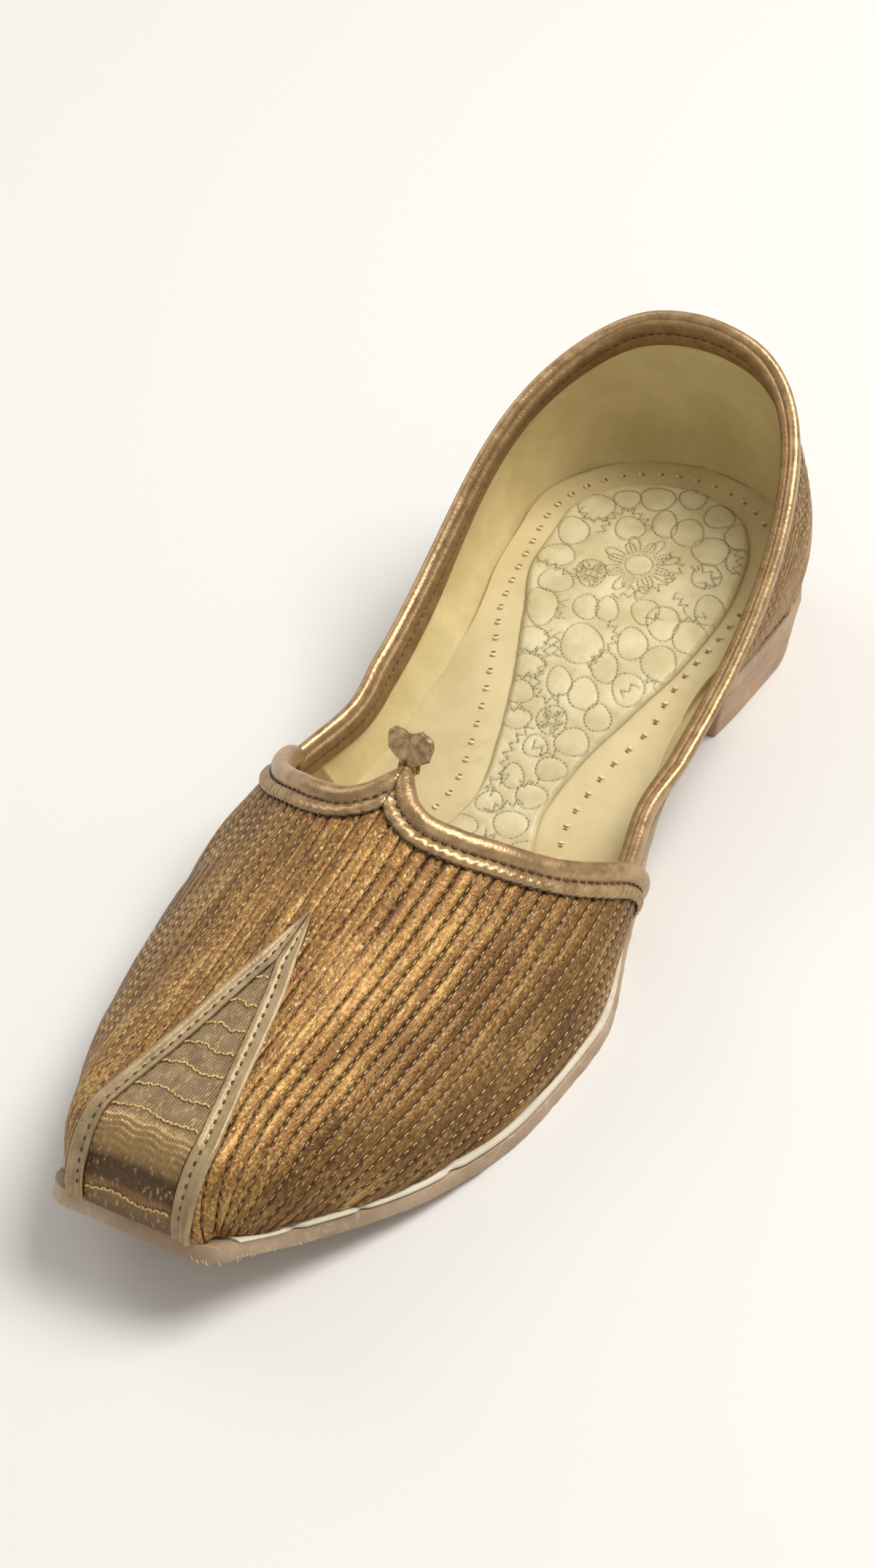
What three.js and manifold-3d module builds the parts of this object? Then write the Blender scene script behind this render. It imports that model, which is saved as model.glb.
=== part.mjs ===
// A mojari for the left foot: a low, square-toed slip-on with a raised throat point,
// built from the pieces that its maker cuts and joins.
// Millimetres, +Z up, the ground at z = 0, toe towards -Y, heel towards +Y, outer side towards +X.
import * as THREE from 'three';
import { mergeVertices } from 'three/addons/utils/BufferGeometryUtils.js';
import Module from 'manifold-3d';

const wasm = await Module();
wasm.setup();

// Sizes of the last and the sole
const shoe_length = 280;
const ball_width = 107;
const waist_width = 66;
const heel_width = 77;
const toe_width = 37;
const toe_corner_radius = 4;
const sole_corner_radius = 7;
const least_corner_radius = 0.5;
const toe_swing = 7;
const toe_spring = 20;
const heel_height = 15;
const heel_length = 68;
const heel_taper = 2.8;
const heel_edge_rounding = 0.6;
const breast_hollow = 1.5;
const sole_thickness = 4;
const sole_edge_rounding = 0.8;

// Sizes of the upper
const wall = 2;
const instep_height = 58;
const toe_height = 43;
const nose_length = 12.5;
const back_height = 80.5;
const side_height = 26;
const collar_width = 84.5;
const back_lean = 7.5;
const quarter_bulge = 4.5;
const seam_step = 1.2;
const throat_flare = 6;

// Sizes of the trims
const gap = 0.3;
const feather_inset = 1.6;
const welt_thickness = 1.5;
const welt_width = 4;
const welt_inset = 0.4;
const welt_skive = 9;
const binding_width = 7.2;
const binding_thickness = 0.9;
const binding_turn_in = 2.6;
const turn_in_gap = 0.5;
const rim_gap = 0.5;
const roll_depth = 1.4;
const roll_shoulder = 0.8 * roll_depth;
const roll_crown = 1.1 * roll_depth;
const roll_swell = 0.2;
const roll_slope = 0.5;
const piping_drop = 3;
const facing_drop = 7.5;
const tab_height = 9.5;
const tab_seat = 1;
const tab_width = 12;
const tab_root_width = 5;
const tab_notch = 1.6;
const tab_thickness = 1.6;
const tab_lean = 22;
const strip_width = 4.3;
const strip_thickness = 0.9;
const panel_thickness = 0.6;
const insole_thickness = 4;
const insole_wedge = 5;
const insole_clearance = 1.7;
const insole_rounding = 0.8;
const pad_thickness = 1.6;
const pad_edge = 1.2;

// Places along the shoe, as shares of its length from the back of the heel
const heel_centre = 0.13;
const swing_start = 0.42;
const arch_end = 0.5;
const spring_start = 0.7;
const welt_start = 0.3;
const welt_end = 0.965;
const quarter_end = 0.58;
const lap_start = 0.38;
const lap_full = 0.47;
const heel_fan = 0.3;
const near_rim = 0.93;

// How steeply the toe swings over, the quarters bow out and the feather edge climbs the welt
const swing_power = 1.6;
const bow_power = 0.85;
const feather_climb = 3;

// Rows and columns of the sheets
const heel_steps = 9;
const side_steps = 26;
const corner_steps = 4;
const heel_side_steps = 6;
const welt_steps = 28;
const vamp_rows = 13;
const nose_rows = 6;
const quarter_columns = 48;
const quarter_rows = 7;
const binding_steps = 30;
const topline_steps = 46;
const triangle_rows = 13;
const triangle_nose_rows = 7;
const panel_columns = 6;
const pad_steps = 26;
const pad_crowding = 1.4;

// Half width of the sole at each station
const sole_sections = [
  { station: heel_centre, half: 0.5 * heel_width },
  { station: 0.2, half: 0.475 * heel_width },
  { station: 0.3, half: 0.5 * waist_width },
  { station: 0.38, half: 0.53 * waist_width },
  { station: 0.5, half: 0.41 * ball_width },
  { station: 0.62, half: 0.5 * ball_width },
  { station: 0.72, half: 0.484 * ball_width },
  { station: 0.82, half: 0.417 * ball_width },
  { station: 0.92, half: 0.292 * ball_width },
  { station: 1, half: 0.5 * toe_width },
];

// Sections of the vamp: height of its ridge, how full its shoulders are, how far its sides flare
const vamp_sections = [
  { station: 0.36, crest: 1.08 * instep_height, fullness: 2.1, flare: 1.1 * throat_flare },
  { station: 0.5, crest: 1.04 * instep_height, fullness: 2.05, flare: throat_flare },
  { station: 0.59, crest: instep_height, fullness: 1.75, flare: 0.5 * throat_flare },
  { station: 0.66, crest: 0.93 * instep_height, fullness: 1.68, flare: 0.25 * throat_flare },
  { station: 0.73, crest: 0.86 * instep_height, fullness: 1.72, flare: 0.1 * throat_flare },
  { station: 0.8, crest: 1.09 * toe_height, fullness: 1.85, flare: 0 },
  { station: 0.87, crest: 1.035 * toe_height, fullness: 2.2, flare: 0 },
  { station: 0.94, crest: 1.01 * toe_height, fullness: 2.65, flare: 0 },
  { station: 1, crest: toe_height, fullness: 3, flare: 0 },
];

// The throat's edge, from the point at the ridge over a scallop to the feather edge
const throat_edge = [
  { across: 0, station: 0.586 },
  { across: 0.05, station: 0.6 },
  { across: 0.1, station: 0.612 },
  { across: 0.17, station: 0.618 },
  { across: 0.26, station: 0.613 },
  { across: 0.35, station: 0.602 },
  { across: 0.43, station: 0.59 },
  { across: 0.51, station: 0.575 },
  { across: 0.59, station: 0.555 },
  { across: 0.66, station: 0.535 },
  { across: 0.73, station: 0.514 },
  { across: 0.81, station: 0.496 },
  { across: 0.9, station: 0.484 },
  { across: 1, station: 0.477 },
];

// Sections of the quarters, fanned round the heel: where the topline stands over each
const quarter_sections = [
  { walk: 0, station: 0, half: 0, rise: 1, bulge: 1 },
  { walk: 0.1, station: 0.012, half: 0.337, rise: 0.955, bulge: 1 },
  { walk: 0.2, station: 0.052, half: 0.647, rise: 0.83, bulge: 1 },
  { walk: 0.3, station: 0.127, half: 0.879, rise: 0.682, bulge: 1 },
  { walk: 0.4, station: 0.196, half: 0.978, rise: 0.47, bulge: 0.9 },
  { walk: 0.5, station: 0.261, half: 0.997, rise: 0.277, bulge: 0.7 },
  { walk: 0.6, station: 0.324, half: 0.988, rise: 0.14, bulge: 0.5 },
  { walk: 0.7, station: 0.388, half: 0.975, rise: 0.054, bulge: 0.4 },
  { walk: 0.8, station: 0.452, half: 0.98, rise: 0.014, bulge: 0.3 },
  { walk: 0.9, station: 0.516, half: 1.01, rise: 0, bulge: 0.3 },
  { walk: 1, station: quarter_end, half: 1.04, rise: 0, bulge: 0.3 },
];

// Outer edge of the toe triangle's strips, as shares of half the toe's width
const triangle_edge = [
  { station: 0.733, half: 0.02 },
  { station: 0.77, half: 0.18 },
  { station: 0.81, half: 0.35 },
  { station: 0.85, half: 0.48 },
  { station: 0.89, half: 0.61 },
  { station: 0.93, half: 0.75 },
  { station: 0.955, half: 0.82 },
  { station: 1.1, half: 0.83 },
];

// The padded panel on the insole: its two edges as shares of the ball's half width
const pad_sections = [
  { station: 0.045, inner: 0.02, outer: 0.02 },
  { station: 0.05, inner: 0.16, outer: 0.16 },
  { station: 0.07, inner: 0.36, outer: 0.34 },
  { station: 0.12, inner: 0.5, outer: 0.46 },
  { station: 0.18, inner: 0.5, outer: 0.5 },
  { station: 0.25, inner: 0.38, outer: 0.47 },
  { station: 0.32, inner: 0.25, outer: 0.36 },
  { station: 0.38, inner: 0.17, outer: 0.25 },
  { station: 0.43, inner: 0.13, outer: 0.21 },
  { station: 0.48, inner: 0.19, outer: 0.28 },
  { station: 0.54, inner: 0.34, outer: 0.4 },
  { station: 0.6, inner: 0.45, outer: 0.47 },
  { station: 0.66, inner: 0.5, outer: 0.5 },
];

const materials = {
  brocade: new THREE.MeshStandardMaterial({ color: 0x8a6534, roughness: 0.45, metalness: 0.6 }),
  foil_leather: new THREE.MeshStandardMaterial({ color: 0x9c7650, roughness: 0.38, metalness: 0.6 }),
  pale_leather: new THREE.MeshStandardMaterial({ color: 0xa98b57, roughness: 0.42, metalness: 0.5 }),
  ribbed_cloth: new THREE.MeshStandardMaterial({ color: 0x927044, roughness: 0.55, metalness: 0.4 }),
  cream_leather: new THREE.MeshStandardMaterial({ color: 0xd6c992, roughness: 0.6, metalness: 0 }),
  tan_leather: new THREE.MeshStandardMaterial({ color: 0xa97d52, roughness: 0.55, metalness: 0 }),
};

// Smooth curve through a table's rows that never overshoots them
function smoothColumn(rows, key, column) {
  const xs = rows.map((row) => row[key]);
  const ys = rows.map((row) => row[column]);
  const steps = xs.slice(1).map((x, i) => (ys[i + 1] - ys[i]) / (x - xs[i]));
  const slopes = ys.map((_, i) => {
    if (i === 0) return steps[0];
    if (i === ys.length - 1) return steps[i - 1];
    if (steps[i - 1] * steps[i] <= 0) return 0;
    const before = xs[i] - xs[i - 1];
    const after = xs[i + 1] - xs[i];
    const first = 2 * after + before;
    const second = after + 2 * before;
    return (first + second) / (first / steps[i - 1] + second / steps[i]);
  });
  return (x) => {
    if (x <= xs[0]) return ys[0];
    if (x >= xs[xs.length - 1]) return ys[ys.length - 1];
    let i = 0;
    while (x > xs[i + 1]) i += 1;
    const span = xs[i + 1] - xs[i];
    const t = (x - xs[i]) / span;
    const a = ys[i] * (1 + 2 * t) * (1 - t) ** 2 + slopes[i] * span * t * (1 - t) ** 2;
    const b = ys[i + 1] * t * t * (3 - 2 * t) + slopes[i + 1] * span * t * t * (t - 1);
    return a + b;
  };
}

function clamp01(value) {
  return Math.min(1, Math.max(0, value));
}

function ease(from, to, value) {
  const t = clamp01((value - from) / (to - from));
  return t * t * (3 - 2 * t);
}

function mix(a, b, t) {
  return a + (b - a) * t;
}

function span(from, to, count) {
  return Array.from({ length: count + 1 }, (_, i) => mix(from, to, i / count));
}

const soleHalf = smoothColumn(sole_sections, 'station', 'half');
const crestHeight = smoothColumn(vamp_sections, 'station', 'crest');
const fullness = smoothColumn(vamp_sections, 'station', 'fullness');
const flare = smoothColumn(vamp_sections, 'station', 'flare');
const throatStation = smoothColumn(throat_edge, 'across', 'station');
const toplineStation = smoothColumn(quarter_sections, 'walk', 'station');
const toplineHalf = smoothColumn(quarter_sections, 'walk', 'half');
const toplineRise = smoothColumn(quarter_sections, 'walk', 'rise');
const bulgeShare = smoothColumn(quarter_sections, 'walk', 'bulge');
const triangleHalf = smoothColumn(triangle_edge, 'station', 'half');

function lengthwise(station) {
  return shoe_length * (0.5 - station);
}

function stationAt(y) {
  return 0.5 - y / shoe_length;
}

// The centre line swings towards the other foot from the waist on
function centreLine(station) {
  return -toe_swing * clamp01((station - swing_start) / (1 - swing_start)) ** swing_power;
}

// Underside of the outsole: heel seat, arch, flat ball, toe spring
function soleBottom(station) {
  const heel_end = heel_length / shoe_length;
  const arch = heel_height * (1 - ease(heel_end, arch_end, station));
  const spring = toe_spring * clamp01((station - spring_start) / (1 - spring_start)) ** 2;
  return arch + spring;
}

function soleTop(station) {
  return soleBottom(station) + sole_thickness;
}

// How much of the welt's full thickness is left where it is skived thin at its ends
function weltShare(station) {
  const skive = welt_skive / shoe_length;
  const rising = ease(welt_start - skive, welt_start + skive, station);
  return rising * (1 - ease(welt_end - skive, welt_end, station));
}

function featherHeight(station) {
  const share = weltShare(station);
  return soleTop(station) + gap * (1 + Math.min(1, feather_climb * share)) + share * welt_thickness;
}

// A point of the sole's outline in plan, set in by a distance; walk runs from back to front
const heel_walk = 0.22;
const side_walk = 0.9;
const corner_walk = 0.97;
const slope_probe = 0.005;
function outlinePoint(walk, side, inset) {
  const seat = lengthwise(heel_centre);
  const front = lengthwise(1) + inset;
  const radius = Math.max(least_corner_radius, sole_corner_radius - inset);
  if (walk <= heel_walk) {
    const turn = (walk / heel_walk) * Math.PI / 2;
    const y = seat + (heel_centre * shoe_length - inset) * Math.cos(turn);
    return new THREE.Vector2(side * (soleHalf(heel_centre) - inset) * Math.sin(turn), y);
  }
  if (walk <= side_walk) {
    const last = stationAt(front + radius);
    const station = mix(heel_centre, last, (walk - heel_walk) / (side_walk - heel_walk));
    const widening = soleHalf(station + slope_probe) - soleHalf(station - slope_probe);
    const slope = widening / (2 * slope_probe * shoe_length);
    const away = inset * Math.sqrt(1 + slope * slope);
    return new THREE.Vector2(side * (soleHalf(station) - away) + centreLine(station), lengthwise(station));
  }
  const corner = outlinePoint(side_walk, 1, inset).x - centreLine(stationAt(front + radius)) - radius;
  const turn = clamp01((walk - side_walk) / (corner_walk - side_walk)) * Math.PI / 2;
  const reach = corner * (1 - clamp01((walk - corner_walk) / (1 - corner_walk)));
  const x = reach + radius * Math.cos(turn);
  const y = front + radius * (1 - Math.sin(turn));
  return new THREE.Vector2(side * (walk > corner_walk ? reach : x) + centreLine(stationAt(y)), y);
}

// Solids

function meshOf(name, material, solid) {
  const data = solid.getMesh();
  const geometry = new THREE.BufferGeometry();
  geometry.setAttribute('position', new THREE.BufferAttribute(new Float32Array(data.vertProperties), 3));
  geometry.setIndex(new THREE.BufferAttribute(new Uint32Array(data.triVerts), 1));
  geometry.computeVertexNormals();
  const mesh = new THREE.Mesh(geometry, material);
  mesh.name = name;
  return mesh;
}

// A solid from points and triangles, its faces turned outwards
function solidOf(points, triangles) {
  const raw = new THREE.BufferGeometry();
  raw.setAttribute('position', new THREE.Float32BufferAttribute(points.flatMap((p) => [p.x, p.y, p.z]), 3));
  raw.setIndex(triangles.flat());
  const merged = mergeVertices(raw, 1e-4);
  const position = merged.attributes.position;
  const index = Array.from(merged.index.array);
  const corners = [0, 1, 2].map(() => new THREE.Vector3());
  let volume = 0;
  const kept = [];
  for (let i = 0; i < index.length; i += 3) {
    const ids = index.slice(i, i + 3);
    if (new Set(ids).size < 3) continue;
    ids.forEach((id, k) => corners[k].fromBufferAttribute(position, id));
    volume += corners[0].dot(corners[1].clone().cross(corners[2]));
    kept.push(ids);
  }
  const triVerts = new Uint32Array(kept.flatMap((ids) => (volume > 0 ? ids : [ids[0], ids[2], ids[1]])));
  const vertProperties = new Float32Array(position.array);
  return new wasm.Manifold(new wasm.Mesh({ numProp: 3, vertProperties, triVerts }));
}

// The solid between two sheets of points with as many rows and columns
function slab(outer, inner) {
  const rows = outer.length;
  const columns = outer[0].length;
  const points = [...outer.flat(), ...inner.flat()];
  const shift = rows * columns;
  const at = (row, column) => row * columns + column;
  const triangles = [];
  const quad = (a, b, c, d) => triangles.push([a, b, c], [a, c, d]);
  for (let r = 0; r + 1 < rows; r += 1) {
    for (let c = 0; c + 1 < columns; c += 1) {
      quad(at(r, c), at(r, c + 1), at(r + 1, c + 1), at(r + 1, c));
      quad(shift + at(r, c), shift + at(r + 1, c), shift + at(r + 1, c + 1), shift + at(r, c + 1));
    }
  }
  for (let c = 0; c + 1 < columns; c += 1) {
    quad(at(0, c + 1), at(0, c), shift + at(0, c), shift + at(0, c + 1));
    quad(at(rows - 1, c), at(rows - 1, c + 1), shift + at(rows - 1, c + 1), shift + at(rows - 1, c));
  }
  for (let r = 0; r + 1 < rows; r += 1) {
    const end = columns - 1;
    quad(at(r, 0), at(r + 1, 0), shift + at(r + 1, 0), shift + at(r, 0));
    quad(at(r + 1, end), at(r, end), shift + at(r, end), shift + at(r + 1, end));
  }
  return solidOf(points, triangles);
}

// The solid through a row of closed sections with as many points, flat at both ends
function loft(sections, flat_section) {
  const count = sections[0].length;
  const points = sections.flat();
  const triangles = [];
  for (let s = 0; s + 1 < sections.length; s += 1) {
    for (let k = 0; k < count; k += 1) {
      const a = s * count + k;
      const b = s * count + ((k + 1) % count);
      triangles.push([a, b, b + count], [a, b + count, a + count]);
    }
  }
  const last = (sections.length - 1) * count;
  const clockwise = THREE.ShapeUtils.isClockWise(flat_section);
  for (const [a, b, c] of THREE.ShapeUtils.triangulateShape(flat_section, [])) {
    if (clockwise) triangles.push([a, b, c], [last + a, last + c, last + b]);
    else triangles.push([a, c, b], [last + a, last + b, last + c]);
  }
  return solidOf(points, triangles);
}

// The solid through closed rings laid one over the other; each ring runs from the back along the
// outer side to the front and returns along the inner side, and its two sides close it as a ladder
function stack(rings) {
  const count = rings[0].length;
  const points = rings.flat();
  const triangles = [];
  for (let s = 0; s + 1 < rings.length; s += 1) {
    for (let k = 0; k < count; k += 1) {
      const a = s * count + k;
      const b = s * count + ((k + 1) % count);
      triangles.push([a, b, b + count], [a, b + count, a + count]);
    }
  }
  const last = (rings.length - 1) * count;
  const half = count / 2;
  for (let k = 0; k < half; k += 1) {
    const a = k;
    const b = k + 1;
    const c = count - 1 - k;
    const d = (count - k) % count;
    if (k > 0) triangles.push([a, d, b], [last + a, last + b, last + d]);
    if (k + 1 < half) triangles.push([b, d, c], [last + b, last + c, last + d]);
  }
  return solidOf(points, triangles);
}

function largestOf(solid) {
  const pieces = solid.decompose();
  return pieces.reduce((best, piece) => (piece.volume() > best.volume() ? piece : best));
}

function ringAt(walks, inset, height) {
  const point = (walk, side) => {
    const flat = outlinePoint(walk, side, inset);
    return new THREE.Vector3(flat.x, flat.y, height(stationAt(flat.y)));
  };
  const outer = walks.map((walk) => point(walk, 1));
  const inner = walks.slice(1, -1).reverse().map((walk) => point(walk, -1));
  return [...outer, ...inner];
}

// The vamp's outer surface
// reach runs along the shoe and, past the nose's start, down over the square toe
const upper_front = 1 - feather_inset / shoe_length;
const nose_start = upper_front - nose_length / shoe_length;
const nose_span = 0.1;
const flare_reach = 1.4;
function noseAt(reach) {
  if (reach <= nose_start) return { station: reach, rise: 1 };
  const turn = clamp01((reach - nose_start) / nose_span) * Math.PI / 2;
  return { station: mix(nose_start, upper_front, Math.sin(turn)), rise: Math.cos(turn) };
}

function vampSkin(reach, across) {
  const { station, rise } = noseAt(reach);
  const side = Math.sign(across) || 1;
  const angle = (1 - Math.min(1, Math.abs(across))) * Math.PI / 2;
  const power = 2 / fullness(station);
  const up = Math.sin(angle) ** power;
  const side_flare = flare(station) * Math.sin(Math.PI * Math.min(1, flare_reach * up));
  const half = (soleHalf(station) - feather_inset + side_flare) * Math.cos(angle) ** power;
  const low = featherHeight(station);
  const straight = soleHalf(1) - toe_corner_radius;
  const beyond = Math.min(toe_corner_radius, Math.max(0, half - straight));
  const corner = toe_corner_radius - Math.sqrt(toe_corner_radius ** 2 - beyond ** 2);
  const y = lengthwise(station) + corner * ease(nose_start, nose_start + nose_span, reach);
  const z = low + (crestHeight(station) - low) * rise * up;
  return new THREE.Vector3(side * half + centreLine(station), y, z);
}

const probe = 0.004;
function skinNormal(skin, u, v, inside) {
  const along = skin(u + probe, v).sub(skin(u - probe, v));
  const over = skin(u, v + probe).sub(skin(u, v - probe));
  const normal = along.cross(over).normalize();
  return normal.dot(skin(u, v).sub(inside)) < 0 ? normal.negate() : normal;
}

function vampNormal(reach, across) {
  const { station } = noseAt(reach);
  const low = Math.min(nose_start, station);
  const inside = new THREE.Vector3(centreLine(low), lengthwise(low), featherHeight(station));
  const safe_reach = Math.min(reach, nose_start + nose_span - probe);
  const safe_across = Math.sign(across) * Math.min(Math.abs(across), 1 - probe);
  const normal = skinNormal(vampSkin, safe_reach, safe_across, inside);
  if (Math.abs(across) === 1) normal.setZ(0).normalize();
  if (reach >= nose_start + nose_span) normal.setZ(0).normalize();
  return normal;
}

function vampPoint(reach, across, lift) {
  return vampSkin(reach, across).addScaledVector(vampNormal(reach, across), lift);
}

// The height's share of the vamp's section gives its half width there
function vampHalf(station, z) {
  const low = featherHeight(station);
  const up = clamp01((z - low) / (crestHeight(station) - low));
  const angle = Math.asin(up ** (fullness(station) / 2));
  const side_flare = flare(station) * Math.sin(Math.PI * Math.min(1, flare_reach * up));
  return (soleHalf(station) - feather_inset + side_flare) * Math.cos(angle) ** (2 / fullness(station));
}

// The quarters' outer surface; walk is the signed way from the back seam, climb from feather to topline
function quarterSkin(walk, climb) {
  const side = Math.sign(walk) || 1;
  const way = Math.abs(walk);
  const fan = clamp01(way / heel_fan) * Math.PI / 2;
  const station = mix(heel_centre, quarter_end, clamp01((way - heel_fan) / (1 - heel_fan)));
  const seat = lengthwise(station);
  const radius = heel_centre * shoe_length - feather_inset;
  const foot_half = (soleHalf(station) - feather_inset) * (way < heel_fan ? Math.sin(fan) : 1);
  const foot_y = way < heel_fan ? seat + radius * Math.cos(fan) : seat;
  const foot_z = featherHeight(stationAt(foot_y));
  const top_station = toplineStation(way);
  const top_y = lengthwise(top_station) - back_lean * (1 - ease(0, heel_fan, way));
  const top_half = 0.5 * collar_width * toplineHalf(way);
  const top_z = mix(side_height, back_height, toplineRise(way));
  const bow = quarter_bulge * bulgeShare(way) * Math.sin(Math.PI * Math.max(0, climb) ** bow_power);
  const z = mix(foot_z, top_z, climb);
  const y = mix(foot_y, top_y, climb) + bow * Math.cos(fan);
  const own_half = mix(foot_half, top_half, climb) + bow * Math.sin(fan);
  const lapped = ease(lap_start, lap_full, station);
  const half = mix(own_half, vampHalf(Math.max(station, lap_start), z) - seam_step, lapped);
  return new THREE.Vector3(side * half + centreLine(station), y, z);
}

function quarterNormal(walk, climb) {
  const inside_y = Math.min(lengthwise(heel_centre), quarterSkin(walk, climb).y);
  const inside = new THREE.Vector3(0, inside_y, heel_height);
  const normal = skinNormal(quarterSkin, walk, climb, inside);
  if (climb === 0) normal.setZ(0).normalize();
  return normal;
}

function quarterPoint(walk, climb, lift) {
  return quarterSkin(walk, climb).addScaledVector(quarterNormal(walk, climb), lift);
}

// Upper: the vamp's shell and the quarters' shell, joined where the vamp laps over the quarters

const vamp_columns = [
  0, 0.04, 0.08, 0.13, 0.19, 0.26, 0.33, 0.4, 0.47, 0.54, 0.61, 0.68, 0.75, 0.82, 0.89, 0.95, 1,
];
const vamp_across = [...vamp_columns.slice(1).reverse().map((a) => -a), ...vamp_columns];
function vampShell(grow) {
  const reaches = (across) => {
    const start = throatStation(Math.abs(across)) - grow / shoe_length;
    const body = span(start, nose_start, vamp_rows).slice(0, -1);
    return [...body, ...span(nose_start, nose_start + nose_span, nose_rows)];
  };
  const sheet = (lift) => {
    const columns = vamp_across.map((across) => (
      reaches(across).map((reach) => vampPoint(reach, across, lift))));
    return columns[0].map((_, row) => columns.map((column) => column[row]));
  };
  return slab(sheet(grow), sheet(-wall - grow));
}

const quarter_walks = span(-1, 1, quarter_columns);
const quarter_climbs = span(0, 1, quarter_rows);
function quarterShell(grow) {
  const reach = 1 + grow / back_height;
  const sheet = (lift) => quarter_climbs.map((climb) => (
    quarter_walks.map((walk) => quarterPoint(walk, climb * reach, lift))));
  return slab(sheet(grow), sheet(-wall - grow));
}

const upper = vampShell(0).add(quarterShell(0));

// Throat bindings: a strip over the vamp's edge, rolled round it and turned in, one to each scallop

const binding_end = 0.95;
function throatSection(across, grow) {
  const reach = throatStation(across);
  const edge = (a) => vampSkin(throatStation(Math.abs(a)), a);
  const low = Math.max(probe, Math.min(1 - probe, across));
  const tangent = edge(low + probe).sub(edge(low - probe)).normalize();
  const normal = vampNormal(reach, low);
  const inward = normal.clone().cross(tangent).normalize();
  if (inward.y > 0) inward.negate();
  const along = vampSkin(reach + probe, low).sub(vampSkin(reach - probe, low)).divideScalar(2 * probe);
  const over = vampSkin(reach, low + probe).sub(vampSkin(reach, low - probe)).divideScalar(2 * probe);
  const aa = along.dot(along);
  const ao = along.dot(over);
  const oo = over.dot(over);
  const det = aa * oo - ao * ao;
  const onSkin = (distance, lift) => {
    const ai = along.dot(inward) * distance;
    const oi = over.dot(inward) * distance;
    const d_reach = (ai * oo - oi * ao) / det;
    const d_across = (oi * aa - ai * ao) / det;
    const target = across + d_across;
    return vampPoint(reach + d_reach, Math.min(1, target), lift);
  };
  const framed = (out, back) => edge(across).addScaledVector(normal, out).addScaledVector(inward, -back);
  const top = gap + binding_thickness + grow;
  const lining = -wall - turn_in_gap;
  const under = lining - binding_thickness - grow;
  return [
    onSkin(binding_width + grow, top),
    onSkin(binding_width / 2, top),
    framed(top + roll_swell, rim_gap),
    framed(top - roll_slope, rim_gap + roll_shoulder + grow),
    framed(-wall / 2, rim_gap + roll_crown + grow),
    framed(under + roll_slope, rim_gap + roll_shoulder + grow),
    framed(under - roll_swell, rim_gap),
    framed(under, -binding_turn_in - grow),
    framed(lining, -binding_turn_in - grow),
    framed(lining, rim_gap),
    framed(gap, rim_gap),
    onSkin(binding_width / 2, gap),
    onSkin(binding_width + grow, gap),
  ];
}

const throat_section_flat = [
  [8, 1], [4, 1], [0, 1.4], [-1, 0.8], [-2, -1], [-1, -3], [0, -3.4], [3, -3.2], [3, -2.3], [-0.3, -2.3],
  [-0.3, 0.3], [4, 0.3], [8, 0.3],
].map(([x, y]) => new THREE.Vector2(x, y));

function throatBinding(side, grow) {
  const flip = new THREE.Vector3(side, 1, 1);
  const sections = span(0, binding_end, binding_steps).map((across) => {
    const shift = new THREE.Vector3(2 * centreLine(throatStation(across)), 0, 0);
    return throatSection(across, grow).map((p) => (side > 0 ? p : p.multiply(flip).add(shift)));
  });
  return loft(sections, throat_section_flat);
}

function box(low, high) {
  const size = new THREE.Vector3().subVectors(high, low);
  const geometry = new THREE.BoxGeometry(size.x, size.y, size.z);
  geometry.translate(low.x + size.x / 2, low.y + size.y / 2, low.z + size.z / 2);
  geometry.deleteAttribute('normal');
  geometry.deleteAttribute('uv');
  const merged = mergeVertices(geometry);
  const points = Array.from({ length: merged.attributes.position.count }, (_, i) => (
    new THREE.Vector3().fromBufferAttribute(merged.attributes.position, i)));
  const index = Array.from(merged.index.array);
  const firsts = index.map((_, i) => i).filter((i) => i % 3 === 0);
  return solidOf(points, firsts.map((i) => index.slice(i, i + 3)));
}

const binding_plane = centreLine(throatStation(0));
const reach_all = 2 * shoe_length;
const half_space = (side) => {
  const near = binding_plane + side * gap / 2;
  const far = side * reach_all;
  return box(new THREE.Vector3(Math.min(near, far), -reach_all, -reach_all),
    new THREE.Vector3(Math.max(near, far), reach_all, reach_all));
};
const grown_quarters = quarterShell(gap);
const throat_bindings = [1, -1].map((side) => (
  largestOf(throatBinding(side, 0).intersect(half_space(side)).subtract(grown_quarters))));

// Topline binding: piping over the quarters' edge with a facing inside

function toplineSection(walk) {
  const edge = quarterSkin(walk, 1);
  const normal = quarterNormal(walk, 1);
  const upward = quarterSkin(walk, 1).sub(quarterSkin(walk, near_rim)).normalize();
  const tall = quarterSkin(walk, 1).distanceTo(quarterSkin(walk, 0));
  const framed = (out, up) => edge.clone().addScaledVector(normal, out).addScaledVector(upward, up);
  const onWall = (drop, lift) => quarterPoint(walk, 1 - drop / tall, lift);
  const out = gap + binding_thickness;
  const back = -wall - gap - binding_thickness;
  return [
    onWall(piping_drop, gap),
    onWall(piping_drop, out),
    framed(out + roll_swell, roll_swell),
    framed(out - roll_slope, gap + roll_shoulder),
    framed(-wall / 2, gap + roll_crown),
    framed(back + roll_slope, gap + roll_shoulder),
    framed(back - roll_swell, roll_swell),
    onWall(facing_drop / 2, back),
    onWall(facing_drop, back),
    onWall(facing_drop, -wall - gap),
    onWall(facing_drop / 2, -wall - gap),
    framed(-wall - gap, gap),
    framed(gap, gap),
  ];
}

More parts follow.
